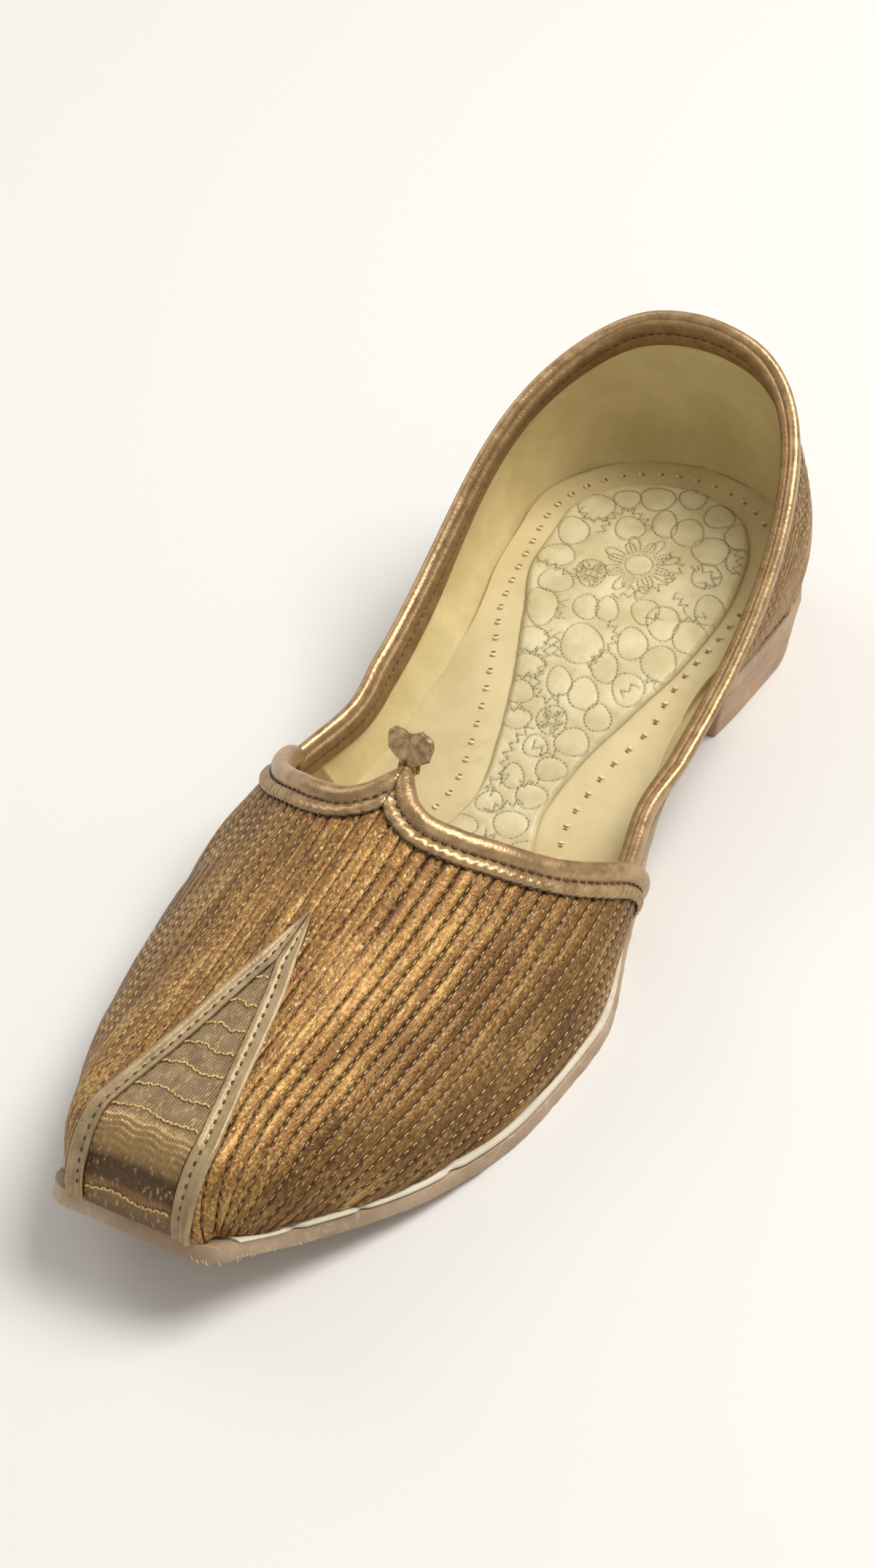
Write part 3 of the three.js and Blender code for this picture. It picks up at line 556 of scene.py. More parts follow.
heel_leather = leather_material(
    "heel leather", {"Roughness": 0.45, "Metallic": 0.25}, {"Scale": 900.0},
    [(0.30, 0.18, 0.10), (0.46, 0.30, 0.18)], 0.1,
    rubbed=({"Scale": 90.0, "Amount": 0.34}, (0.58, 0.44, 0.31)))

heel_last_walk = heel_walk + (side_walk - heel_walk) * (
    (heel_length / shoe_length - heel_centre)
    / (station_at(lengthwise(1.0) + toe_corner_radius) - heel_centre)
)
breast_hollow = 1.5
heel_breast_share = 0.12


def heel_place(u, v):
    """u runs once round the block, v from the floor to its top"""
    height = v * heel_top
    inset = mix(heel_taper, heel_gap, v)
    groove = sum(np.exp(-(((height - at) / lift_groove_width) ** 2)) for at in lift_heights)
    inset = inset + lift_groove * groove
    way = 2 * u - 1
    round_share = 1 - heel_breast_share
    walk = clamp01(np.abs(way) / round_share) * heel_last_walk
    side = np.where(way < 0, -1.0, 1.0)
    x, y = sole_outline(walk, side, inset)
    on_breast = np.abs(way) > round_share
    across = clamp01((1 - np.abs(way)) / heel_breast_share)
    x = np.where(on_breast, x * across, x)
    y = np.where(on_breast, y + breast_hollow * (1 - across**2), y)
    return np.stack([x, y, height], -1)


heel = lay_grid("heel_block", 180, 30, heel_place)
weld(heel)
round_edges(heel, 0.5, angle=60.0)
smooth_faces(heel)
hand_over(heel, heel_leather, "heel")

# Welts
# A cream rand, 1.5 mm thick, along each side between upper and outsole, skived thin at its
# ends. On the outer side it has two nicks and one place where its ends butt together.
surface_gap = 0.3
feather_inset = 1.6
welt_thickness = 1.5
welt_width = 4.0
welt_inset = 0.4
welt_skive = 9.0
welt_start = 0.3
welt_end = 0.965
welt_last_walk = 0.897
welt_tongue = 0.9
feather_climb = 3
nick_depth = 0.9
nick_dip = 0.35
welt_nicks = {1.0: ((0.931, 1.2), (0.881, 1.0), (0.804, 1.6)), -1.0: ((0.55, 1.0), (0.83, 1.0))}


def welt_share(station):
    skive = welt_skive / shoe_length
    rising = ease(welt_start - skive, welt_start + skive, station)
    return rising * (1 - ease(welt_end - skive, welt_end, station))


def feather_height(station):
    share = welt_share(station)
    lifted = surface_gap * (1 + np.minimum(1, feather_climb * share))
    return sole_top(station) + lifted + share * welt_thickness


cream_rand = leather_material(
    "cream rand", {"Roughness": 0.5}, {"Scale": 700.0},
    [(0.52, 0.46, 0.34), (0.68, 0.62, 0.49)], 0.06,
    rubbed=({"Scale": 220.0, "Amount": 0.33}, (0.42, 0.31, 0.18)))

welt_profile = [(0.0, 0.35), (0.12, 0.12), (0.35, 0.0), (1.0, 0.0), (1.0, 1.0), (0.3, 1.0),
                (0.1, 0.88), (0.0, 0.62)]
welt_walks = [heel_walk + (side_walk - heel_walk) * (welt_start - heel_centre) / (1 - heel_centre),
              welt_last_walk]


def ring_of(profile, u):
    """Two numbers of a closed profile at a share of its way round, corner to corner"""
    corners = np.array(profile + profile[:1], float)
    places = np.linspace(0, 1, len(corners))
    return np.interp(u, places, corners[:, 0]), np.interp(u, places, corners[:, 1])


def welt_place(side, u, v):
    walk = mix(welt_walks[0], welt_walks[1], v)
    depth, up = ring_of(welt_profile, u)
    _, y_edge = sole_outline(walk, side, welt_inset)
    station = station_at(y_edge)
    nick = sum(np.exp(-(((y_edge - lengthwise(at)) / width) ** 2))
               for at, width in welt_nicks[side])
    inset = welt_inset + depth * welt_width + nick_depth * nick * (1 - depth)
    x, y = sole_outline(walk, side, inset)
    low = sole_top(station_at(y_edge)) + surface_gap
    least = np.where(station > spring_start, welt_tongue, surface_gap)
    high = np.maximum(least, welt_thickness * welt_share(station))
    points = np.stack([x, y, low + up * high * (1 - nick_dip * nick)], -1)
    points[:, 2] += 0.12 * ripples(points, 9.0, 3) * up
    return points


for side, node in ((1.0, "welt_outer"), (-1.0, "welt_inner")):
    welt = lay_grid(node + "_rand", len(welt_profile), 420, lambda u, v: welt_place(side, u, v))
    weld(welt)
    smooth_faces(welt, 50.0)
    hand_over(welt, cream_rand, node)

# Vamp
# Bronze tissue brocade, quilted lengthwise every 3.8 mm into soft ribs and lasted over the
# forefoot. Its throat is cut in two scallops that meet in a point on the ridge.
wall = 2.0
cloth_thickness = 1.0
instep_height = 58.0
toe_height = 43.0
nose_length = 12.5
throat_flare = 6.0
nose_span = 0.1
flare_reach = 1.4
probe = 0.004
vamp_sections = [
    (0.36, 1.08 * instep_height, 2.1, 1.1 * throat_flare),
    (0.5, 1.04 * instep_height, 2.05, throat_flare),
    (0.59, instep_height, 1.75, 0.5 * throat_flare),
    (0.66, 0.93 * instep_height, 1.68, 0.25 * throat_flare),
    (0.73, 0.86 * instep_height, 1.72, 0.1 * throat_flare),
    (0.8, 1.09 * toe_height, 1.85, 0.0),
    (0.87, 1.035 * toe_height, 2.2, 0.0),
    (0.94, 1.01 * toe_height, 2.65, 0.0),
    (1.0, toe_height, 3.0, 0.0),
]
throat_edge = [
    (0.0, 0.586), (0.05, 0.6), (0.1, 0.612), (0.17, 0.618), (0.26, 0.613), (0.35, 0.602),
    (0.43, 0.59), (0.51, 0.575), (0.59, 0.555), (0.66, 0.535), (0.73, 0.514), (0.81, 0.496),
    (0.9, 0.484), (1.0, 0.477),
]
crest_height = smooth_curve(vamp_sections, 1)
fullness = smooth_curve(vamp_sections, 2)
flare = smooth_curve(vamp_sections, 3)
throat_station = smooth_curve(throat_edge)
upper_front = 1 - feather_inset / shoe_length
nose_start = upper_front - nose_length / shoe_length
nose_end = nose_start + nose_span


def nose_at(reach):
    """Past its start, the nose turns down over the square toe"""
    turn = clamp01((reach - nose_start) / nose_span) * np.pi / 2
    over_nose = reach > nose_start
    station = np.where(over_nose, mix(nose_start, upper_front, np.sin(turn)), reach)
    return station, np.where(over_nose, np.cos(turn), 1.0)


def vamp_skin(reach, across):
    reach, across = np.broadcast_arrays(np.asarray(reach, float), np.asarray(across, float))
    station, rise = nose_at(reach)
    angle = (1 - np.minimum(1, np.abs(across))) * np.pi / 2
    power = 2 / fullness(station)
    up = np.maximum(np.sin(angle), 0) ** power
    side_flare = flare(station) * np.sin(np.pi * np.minimum(1, flare_reach * up))
    half = (sole_half(station) - feather_inset + side_flare) * np.maximum(np.cos(angle), 0) ** power
    low = feather_height(station)
    straight = sole_half(1.0) - toe_corner_radius
    beyond = np.clip(half - straight, 0, toe_corner_radius)
    corner = toe_corner_radius - np.sqrt(toe_corner_radius**2 - beyond**2)
    x = np.where(across < 0, -half, half) + centre_line(station)
    y = lengthwise(station) + corner * ease(nose_start, nose_end, reach)
    return np.stack([x, y, low + (crest_height(station) - low) * rise * up], -1)


def skin_normal(skin, u, v, inside):
    along = skin(u + probe, v) - skin(u - probe, v)
    over = skin(u, v + probe) - skin(u, v - probe)
    normal = unit(np.cross(along, over))
    facing = np.sum(normal * (skin(u, v) - inside), -1, keepdims=True)
    return np.where(facing < 0, -normal, normal)


def levelled(normal, where):
    """Normals with no rise where the edge of a sheet has to stay level"""
    normal = normal.copy()
    normal[..., 2] = np.where(where, 0.0, normal[..., 2])
    return unit(normal)


def vamp_normal(reach, across):
    reach, across = np.broadcast_arrays(np.asarray(reach, float), np.asarray(across, float))
    station, _ = nose_at(reach)
    low = np.minimum(nose_start, station)
    inside = np.stack([centre_line(low), lengthwise(low), feather_height(station)], -1)
    safe_reach = np.minimum(reach, nose_end - probe)
    safe_across = np.sign(across) * np.minimum(np.abs(across), 1 - probe)
    normal = skin_normal(vamp_skin, safe_reach, safe_across, inside)
    return levelled(normal, (np.abs(across) >= 1) | (reach >= nose_end))


def vamp_point(reach, across, lift):
    lift = np.asarray(lift, float)[..., None]
    return vamp_skin(reach, across) + vamp_normal(reach, across) * lift


# How far round the vamp a place is from the ridge, measured over the surface
girth_reaches = np.linspace(0.4, nose_end, 120)
girth_acrosses = np.linspace(0, 1, 260)
girth_shares = np.linspace(0, 1, 260)
girth_points = vamp_skin(girth_reaches[:, None], girth_acrosses[None, :])
girth_steps = np.linalg.norm(np.diff(girth_points, axis=1), axis=-1)
girths = np.concatenate([np.zeros((len(girth_reaches), 1)), np.cumsum(girth_steps, axis=1)], 1)
across_by_share = np.array([np.interp(girth_shares * row[-1], row, girth_acrosses)
                            for row in girths])


def look_up(table, reach, column):
    """A value between the evenly spaced rows and columns of a table"""
    rows, columns = table.shape
    r = (reach - girth_reaches[0]) / (girth_reaches[-1] - girth_reaches[0]) * (rows - 1)
    r = np.clip(r, 0, rows - 1.001)
    c = np.clip(column * (columns - 1), 0, columns - 1.001)
    i = r.astype(int)
    j = c.astype(int)
    top = mix(table[i, j], table[i, j + 1], c - j)
    low = mix(table[i + 1, j], table[i + 1, j + 1], c - j)
    return mix(top, low, r - i)


def girth_at(reach):
    return np.interp(reach, girth_reaches, girths[:, -1])


quilt_pitch = 3.8
quilt_gather = 0.86
quilt_fan = 1.4
quilt_ribs = 26
edge_crowding = 0.002
rib_columns = 8
rib_rise = 0.15
rib_groove = 0.36
groove_width = 0.34
cloth_fuzz = 0.05
cloth_sag = 0.3
most_rise = 0.9
covered_rise = 0.2
trim_reach = 9.0
panel_back = 0.73
panel_girth = 20.0


def pitch_at(reach):
    gathered = mix(1.0, quilt_gather, ease(0.6, 0.9, reach))
    return quilt_pitch * gathered * mix(1.0, quilt_fan, ease(0.88, nose_end, reach))


# Soft troughs and ridges of the lasted cloth: station, girth from the ridge, turn from
# lengthwise in degrees, half length, half width, rise
vamp_folds = [
    (0.89, 23.0, 14.0, 20.0, 5.5, -1.1), (0.87, 34.0, 20.0, 18.0, 5.0, 0.7),
    (0.8, 14.0, 6.0, 24.0, 6.0, 0.6), (0.76, 27.0, 10.0, 22.0, 5.0, -0.7),
    (0.7, 44.0, 62.0, 20.0, 4.0, -0.6), (0.68, 8.0, 4.0, 16.0, 7.0, -0.5),
    (0.7, -24.0, -8.0, 26.0, 6.0, 0.6), (0.82, -30.0, -12.0, 20.0, 5.0, -0.8),
    (0.9, -24.0, -8.0, 16.0, 5.0, 0.6), (0.64, -50.0, -60.0, 16.0, 4.0, -0.5),
    (0.74, 62.0, 12.0, 26.0, 6.0, -0.6), (0.84, 52.0, 24.0, 18.0, 5.0, 0.5),
    (0.66, 30.0, 30.0, 16.0, 6.0, 0.5), (0.6, 60.0, 20.0, 18.0, 6.0, 0.4),
]


def vamp_rise(reach, girth):
    """How far the quilted cloth stands off the last; girth is signed, outer side positive"""
    ribs = girth / pitch_at(reach)
    to_line = np.abs(ribs - np.round(ribs)) * pitch_at(reach)
    rise = rib_rise * np.sin(np.pi * clamp01(to_line / pitch_at(reach)))
    rise = rise - rib_groove * np.exp(-((to_line / groove_width) ** 2))
    for station, place, turn, length, width, height in vamp_folds:
        angle = math.radians(turn)
        along = (reach - station) * shoe_length
        over = girth - place
        far = (along * math.cos(angle) + over * math.sin(angle)) / length
        wide = (over * math.cos(angle) - along * math.sin(angle)) / width
        rise = rise + height * np.exp(-(far * far) - wide * wide)
    return ribs, rise


def reach_on_vamp(share_at, v, start=0.0):
    """Reach and place across for a share of the way to the toe, on a line whose share of the
    girth is given by its reach"""
    throat = np.full_like(v, 0.58)
    for _ in range(8):
        throat = throat_station(look_up(across_by_share, throat, share_at(throat)))
    reach = mix(throat + start / shoe_length, nose_end, v)
    return reach, look_up(across_by_share, reach, share_at(reach))


def vamp_place(u, v):
    """The grid's columns follow the quilted ribs and run out at the sides of the sole"""
    rib = (2 * u - 1) * quilt_ribs
    sign = np.where(rib < 0, -1.0, 1.0)

    def share_at(reach):
        last = 1 - edge_crowding * (quilt_ribs - np.abs(rib))
        return np.minimum(np.abs(rib) * pitch_at(reach) / girth_at(reach), last)

    reach, size = reach_on_vamp(share_at, v)
    across = sign * size
    girth = sign * share_at(reach) * girth_at(reach)
    ribs, rise = vamp_rise(reach, girth)
    skin = vamp_skin(reach, across)
    rise = rise + cloth_fuzz * ripples(skin, 2.2, 5) + cloth_sag * ripples(skin, 16.0, 6)
    rise = np.minimum(rise, most_rise)
    near_trim = np.exp(-(((reach - throat_station(size)) * shoe_length / trim_reach) ** 4))
    under_panel = (reach > panel_back) & (np.abs(girth) < panel_girth)
    covered = under_panel | (near_trim > 0.3)
    rise = np.where(covered, np.minimum(rise, covered_rise), rise)
    points = skin + vamp_normal(reach, across) * rise[:, None]
    along = (reach - 0.5) * shoe_length
    return points, np.stack([ribs, along, girth], -1)


# Threads of a tissue cloth: flat metal threads that catch the light one by one
thread_weave, weave_in, weave_out = new_group(
    "thread weave",
    [("Vector", "NodeSocketVector", None), ("Threads across", "NodeSocketFloat", 2.2),
     ("Threads along", "NodeSocketFloat", 1.3)],
    ["Height", "Tone", "Glint"],
)
weave_parts = add_node(thread_weave, "ShaderNodeSeparateXYZ")
thread_weave.links.new(weave_in.outputs["Vector"], weave_parts.inputs[0])
weave_x = calculate(thread_weave, "MULTIPLY", weave_parts.outputs[0],
                    weave_in.outputs["Threads across"])
weave_y = calculate(thread_weave, "MULTIPLY", weave_parts.outputs[1],
                    weave_in.outputs["Threads along"])
weave_place = add_node(thread_weave, "ShaderNodeCombineXYZ")
thread_weave.links.new(weave_x, weave_place.inputs[0])
thread_weave.links.new(weave_y, weave_place.inputs[1])
thread_cells = textured(thread_weave, "ShaderNodeTexVoronoi", weave_place.outputs[0],
                        {"Scale": 1.0, "Randomness": 0.75})
cell_tone = add_node(thread_weave, "ShaderNodeSeparateColor")
thread_weave.links.new(thread_cells.outputs["Color"], cell_tone.inputs[0])
thread_height = calculate(thread_weave, "SUBTRACT", 1.0, thread_cells.outputs["Distance"])
thread_glint = calculate(thread_weave, "MULTIPLY",
                         calculate(thread_weave, "SUBTRACT", cell_tone.outputs[1], 0.86), 6.0,
                         clamp=True)
thread_weave.links.new(thread_height, weave_out.inputs["Height"])
thread_weave.links.new(cell_tone.outputs[0], weave_out.inputs["Tone"])
thread_weave.links.new(thread_glint, weave_out.inputs["Glint"])


def cloth_map(tree):
    """The sheet's own map: its vector, and its three numbers apart"""
    cloth = add_node(tree, "ShaderNodeAttribute", attribute_name="cloth").outputs["Vector"]
    parts = add_node(tree, "ShaderNodeSeparateXYZ")
    tree.links.new(cloth, parts.inputs[0])
    return cloth, parts


def brocade_material(name, dark, middle, bright, groove_shade_share, side_shade_from):
    """Bronze tissue cloth: threads, glints and soft patches, with painted shade in the grooves along
    its quilting; past a distance from the ridge the painted groove shade spreads wider and the flanks
    are painted darker as shade"""
    made, tree, shader = new_material(name, {"Metallic": 0.5})
    _, parts = cloth_map(tree)
    flat = add_node(tree, "ShaderNodeCombineXYZ")
    tree.links.new(parts.outputs[2], flat.inputs[0])
    tree.links.new(parts.outputs[1], flat.inputs[1])
    weave = place_group(tree, thread_weave, flat.outputs[0])
    streaks = textured(tree, "ShaderNodeTexNoise", stretched(tree, flat.outputs[0], (0.5, 0.025, 1.0)),
                       {"Scale": 1.0, "Detail": 4.0, "Roughness": 0.7})
    patches = textured(tree, "ShaderNodeTexNoise", stretched(tree, flat.outputs[0], (0.07, 0.03, 1.0)),
                       {"Scale": 1.0, "Detail": 6.0, "Roughness": 0.7})
    rubbed = textured(tree, "ShaderNodeTexNoise", flat.outputs[0], {"Scale": 0.8, "Detail": 6.0})
    to_line = calculate(tree, "MULTIPLY", calculate(tree, "PINGPONG", parts.outputs[0], 0.5), 2.0)
    off_ridge = calculate(tree, "ABSOLUTE", parts.outputs[2])
    # Painted shade: the cloth grows darker towards the flanks, starting at a distance from the ridge
    side_shade = calculate(tree, "DIVIDE", calculate(tree, "SUBTRACT", off_ridge, side_shade_from), 30.0,
                        clamp=True)
    groove_shade_spread = calculate(tree, "ADD", calculate(tree, "MULTIPLY", side_shade, 1.4), 1.0)
    # Painted shade in the quilting grooves, spread wider towards the flanks
    groove = ramp(tree, calculate(tree, "DIVIDE", to_line, groove_shade_spread), [(0.0, 1.0), (groove_shade_share, 0.0)])
    shade = calculate(tree, "MULTIPLY", weave.outputs["Tone"], 0.3)
    for noise_share, strength in ((patches.outputs[0], 1.1), (streaks.outputs[0], 1.0),
                                  (rubbed.outputs[0], 0.6)):
        about_none = calculate(tree, "SUBTRACT", noise_share, 0.5)
        shade = calculate(tree, "ADD", shade, calculate(tree, "MULTIPLY", about_none, strength))
    shade = calculate(tree, "ADD", shade, 0.5)
    tone = ramp(tree, shade, [(0.38, dark), (0.68, middle), (0.98, bright)])
    tone = blend_colours(tree, calculate(tree, "MULTIPLY", weave.outputs["Glint"], 0.75), tone,
                         (0.66, 0.45, 0.19))
    # Painted shade colours: the flanks darken to the dark tone and the grooves to a deeper one
    groove_shade_colour = tuple(0.4 * value for value in dark)
    tone = blend_colours(tree, calculate(tree, "MULTIPLY", side_shade, 0.38), tone, dark)
    tone = blend_colours(tree, calculate(tree, "MULTIPLY", groove, 0.82), tone, groove_shade_colour)
    tree.links.new(tone, shader.inputs["Base Color"])
    tree.links.new(ramp(tree, weave.outputs["Tone"], [(0.0, 0.36), (1.0, 0.62)]),
                   shader.inputs["Roughness"])
    bump_into(tree, shader, weave.outputs["Height"], 0.12)
    return made


brocade = brocade_material("bronze brocade", (0.105, 0.044, 0.009), (0.29, 0.145, 0.036),
                           (0.70, 0.44, 0.15), 0.22, 12.0)

vamp = lay_grid("vamp_cloth", 2 * quilt_ribs * rib_columns, 100, vamp_place)
weld(vamp, fill=False)
turn_faces(vamp, away_from=(0, -60, 12))
thicken(vamp, cloth_thickness)
smooth_faces(vamp, 60.0)
hand_over(vamp, brocade, "upper")

# Quilting
# Gold thread run along every rib, pulled into the groove; it shows bright at the sides, and
# along the middle its rows take a darker bronze thread as painted shade.
stitch_pitch = 2.7
stitch_share = 0.7
trim_cover = 7.2
thread_lift = 0.22
middle_ribs = (-5, 7)
quilt_thread = (0.15, 0.17)
quilt_stagger = 1.3
triangle_edge = [
    (0.733, 0.02), (0.77, 0.18), (0.81, 0.35), (0.85, 0.48), (0.89, 0.61), (0.93, 0.75),
    (0.955, 0.82), (1.1, 0.83),
]
triangle_half = smooth_curve(triangle_edge)
triangle_tip = triangle_edge[0][0]


def thread_material(name, dark, light, metallic):
    made, tree, shader = new_material(name, {"Roughness": 0.42, "Metallic": metallic})
    twist = place_group(tree, leather_grain, object_place(tree), {"Scale": 3000.0, "Unevenness": 900.0})
    tree.links.new(ramp(tree, twist.outputs["Tone"], [(0.35, dark), (0.65, light)]),
                   shader.inputs["Base Color"])
    bump_into(tree, shader, twist.outputs["Height"], 0.03)
    return made


gold_thread = thread_material("gold thread", (0.50, 0.33, 0.11), (0.80, 0.58, 0.26), 0.3)
bronze_thread = thread_material("bronze thread", (0.24, 0.14, 0.045), (0.50, 0.33, 0.13), 0.3)
dark_thread = thread_material("dark thread", (0.035, 0.02, 0.01), (0.10, 0.06, 0.03), 0.0)

side_rows = []
shaded_middle_rows = []
quilt_reaches = np.linspace(0.46, nose_end - 0.004, 260)
for rib in range(-quilt_ribs, quilt_ribs + 1):
    girth = rib * pitch_at(quilt_reaches)
    total = girth_at(quilt_reaches)
    size = look_up(across_by_share, quilt_reaches, clamp01(np.abs(girth) / total))
    sign = -1.0 if rib < 0 else 1.0
    _, rise = vamp_rise(quilt_reaches, girth)
    path = vamp_point(quilt_reaches, sign * size, rise + thread_lift)
    middle_x = centre_line(nose_at(quilt_reaches)[0])
    in_triangle = (quilt_reaches > triangle_tip) & (
        np.abs(path[:, 0] - middle_x) < 0.5 * toe_width * triangle_half(quilt_reaches) + 0.5
    )
    covered = quilt_reaches < throat_station(size) + trim_cover / shoe_length
    shown = (np.abs(girth) < total - 1.2) & ~in_triangle & ~covered
    if shown.sum() < 12:
        continue
    first, last = np.flatnonzero(shown)[[0, -1]]
    part = slice(first, last + 1)
    normals = vamp_normal(quilt_reaches[part], sign * size[part])
    row = stitch_row(path[part], normals, stitch_pitch, stitch_share, *quilt_thread,
                     start=(rib * quilt_stagger) % stitch_pitch)
    # Painted shade: the middle rows use the darker bronze thread in place of gold
    middle_in_painted_shade = middle_ribs[0] < rib < middle_ribs[1]
    (shaded_middle_rows if middle_in_painted_shade else side_rows).extend(row)
for name, rows, thread in (("quilting_sides", side_rows, gold_thread),
                           ("quilting_middle", shaded_middle_rows, bronze_thread)):
    quilting = sew(name, rows)
    hand_over(quilting, thread)

# Quarters
# The same brocade in one piece round the heel, with finer rows of stitching that follow the
# topline. The vamp laps over its front ends.
back_height = 80.5
side_height = 26.0
collar_width = 84.5
back_lean = 7.5
quarter_bulge = 4.5
bow_power = 0.85
near_rim = 0.93
seam_step = 1.2
quarter_end = 0.58
lap_start = 0.38
lap_full = 0.47
heel_fan = 0.3
quarter_sections = [
    (0.0, 0.0, 0.0, 1.0, 1.0), (0.1, 0.012, 0.337, 0.955, 1.0), (0.2, 0.052, 0.647, 0.83, 1.0),
    (0.3, 0.127, 0.879, 0.682, 1.0), (0.4, 0.196, 0.978, 0.47, 0.9),
    (0.5, 0.261, 0.997, 0.277, 0.7), (0.6, 0.324, 0.988, 0.14, 0.5),
    (0.7, 0.388, 0.975, 0.054, 0.4), (0.8, 0.452, 0.98, 0.014, 0.3),
    (0.9, 0.516, 1.01, 0.0, 0.3), (1.0, quarter_end, 1.04, 0.0, 0.3),
]


def eased_curve(curve, mirror, width=0.035):
    """A curve over 0 to 1 with its last kinks rubbed out, even or odd about the back of the heel"""
    xs = np.linspace(-0.2, 1.2, 1401)
    beyond = 2 * curve(1.0) - curve(2 - xs)
    ys = np.where(xs < 0, mirror * curve(np.abs(xs)), np.where(xs > 1, beyond, curve(xs)))
    weights = np.exp(-0.5 * (np.linspace(-0.14, 0.14, 281) / width) ** 2)
    eased = np.convolve(ys, weights / weights.sum(), mode="same")
    return lambda x: np.interp(x, xs, eased)


topline_station = eased_curve(smooth_curve(quarter_sections, 1), 1.0)
topline_half = eased_curve(smooth_curve(quarter_sections, 2), -1.0)
topline_rise = eased_curve(smooth_curve(quarter_sections, 3), 1.0)
bulge_share = eased_curve(smooth_curve(quarter_sections, 4), 1.0)


def vamp_half(station, z):
    low = feather_height(station)
    up = clamp01((z - low) / (crest_height(station) - low))
    angle = np.arcsin(up ** (fullness(station) / 2))
    side_flare = flare(station) * np.sin(np.pi * np.minimum(1, flare_reach * up))
    return (sole_half(station) - feather_inset + side_flare) * np.cos(angle) ** (2 / fullness(station))


def quarter_skin(walk, climb):
    walk, climb = np.broadcast_arrays(np.asarray(walk, float), np.asarray(climb, float))
    way = np.abs(walk)
    fan = clamp01(way / heel_fan) * np.pi / 2
    station = mix(heel_centre, quarter_end, clamp01((way - heel_fan) / (1 - heel_fan)))
    seat = lengthwise(station)
    radius = heel_centre * shoe_length - feather_inset
    on_heel = way < heel_fan
    foot_half = (sole_half(station) - feather_inset) * np.where(on_heel, np.sin(fan), 1.0)
    foot_y = np.where(on_heel, seat + radius * np.cos(fan), seat)
    foot_z = feather_height(station_at(foot_y))
    top_y = lengthwise(topline_station(way)) - back_lean * (1 - ease(0, heel_fan, way))
    top_half = 0.5 * collar_width * topline_half(way)
    top_z = mix(side_height, back_height, topline_rise(way))
    bow = quarter_bulge * bulge_share(way) * np.sin(np.pi * np.maximum(0, climb) ** bow_power)
    z = mix(foot_z, top_z, climb)
    y = mix(foot_y, top_y, climb) + bow * np.cos(fan)
    own_half = mix(foot_half, top_half, climb) + bow * np.sin(fan)
    lapped = ease(lap_start, lap_full, station)
    half = mix(own_half, vamp_half(np.maximum(station, lap_start), z) - seam_step, lapped)
    return np.stack([np.where(walk < 0, -half, half) + centre_line(station), y, z], -1)


def quarter_normal(walk, climb):
    walk, climb = np.broadcast_arrays(np.asarray(walk, float), np.asarray(climb, float))
    y = np.minimum(lengthwise(heel_centre), quarter_skin(walk, climb)[..., 1])
    inside = np.stack([np.zeros_like(y), y, np.full_like(y, heel_height)], -1)
    normal = skin_normal(quarter_skin, walk, climb, inside)
    return levelled(normal, climb == 0)


def quarter_point(walk, climb, lift):
    lift = np.asarray(lift, float)[..., None]
    return quarter_skin(walk, climb) + quarter_normal(walk, climb) * lift


def quarter_tall(walk):
    return np.linalg.norm(quarter_skin(walk, 1.0) - quarter_skin(walk, 0.0), axis=-1)


row_pitch = 2.5
quarter_lines = 27
line_rows = 6
row_groove = 0.3
row_width = 0.4
row_rise = 0.06
row_stagger = 1.1
back_seam_depth = 0.35
back_seam_width = 0.008
lapped_walk = 0.72
binding_cover = 3.0


def quarter_rise(rows):
    to_line = np.abs(rows - np.round(rows)) * row_pitch
    return row_rise - row_groove * np.exp(-((to_line / row_width) ** 2))


way_walks = np.linspace(0, 1, 400)
way_middles = quarter_skin(way_walks, 0.5)
way_lengths = lengths_along(way_middles)


def quarter_place(u, v):
    """The grid's rows follow the stitched lines, and end at the sole where the side is low"""
    walk = 2 * u - 1
    tall = quarter_tall(walk)
    drop = np.minimum(v * quarter_lines * row_pitch, tall * (1 - 0.02 * (1 - v)))
    climb = np.where(v < 1, 1 - drop / tall, 0.0)
    rows = drop / row_pitch
    skin = quarter_skin(walk, climb)
    rise = quarter_rise(rows) + cloth_fuzz * ripples(skin, 2.2, 8) + cloth_sag * ripples(skin, 18.0, 9)
    rise = rise - back_seam_depth * np.exp(-((walk / back_seam_width) ** 2))
    rise = np.where(np.abs(walk) > lapped_walk, np.minimum(rise, 0.1), rise)
    rise = rise * np.where(drop < binding_cover, 0.4, 1.0)
    along = np.sign(walk) * np.interp(np.abs(walk), way_walks, way_lengths)
    return skin + quarter_normal(walk, climb) * rise[:, None], np.stack([rows, along, drop], -1)


quarter_brocade = brocade_material("quarter brocade", (0.13, 0.062, 0.02), (0.29, 0.165, 0.062),
                                   (0.50, 0.33, 0.15), 0.4, 400.0)
quarters = lay_grid("quarters_cloth", 260, quarter_lines * line_rows, quarter_place)
weld(quarters, fill=False)
turn_faces(quarters, away_from=(0, 60, 20))
thicken(quarters, cloth_thickness)
smooth_faces(quarters, 60.0)
hand_over(quarters, quarter_brocade)

quarter_rows = []
row_walks = np.linspace(-0.93, 0.93, 700)
for row in range(2, quarter_lines):
    tall = quarter_tall(row_walks)
    climb = 1 - row * row_pitch / tall
    shown = climb > 0.03
    starts = np.flatnonzero(np.diff(np.concatenate([[0], shown.astype(int), [0]])) == 1)
    ends = np.flatnonzero(np.diff(np.concatenate([[0], shown.astype(int), [0]])) == -1)
    for start, end in zip(starts, ends):
        if end - start < 8:
            continue
        walks = row_walks[start:end]
        path = quarter_point(walks, climb[start:end], np.full(end - start, -0.1))
        quarter_rows += stitch_row(path, quarter_normal(walks, climb[start:end]), stitch_pitch,
                                   0.6, 0.17, 0.16, start=(row * row_stagger) % stitch_pitch)
quarter_stitches = sew("quarter_stitches", quarter_rows)
hand_over(quarter_stitches, bronze_thread)

# Lining
# Smooth cream sheepskin inside the quarters and the vamp, pasted to the cloth, with soft
# wrinkles down the heel.
lining_thickness = 0.8
vamp_lining_gap = 0.7

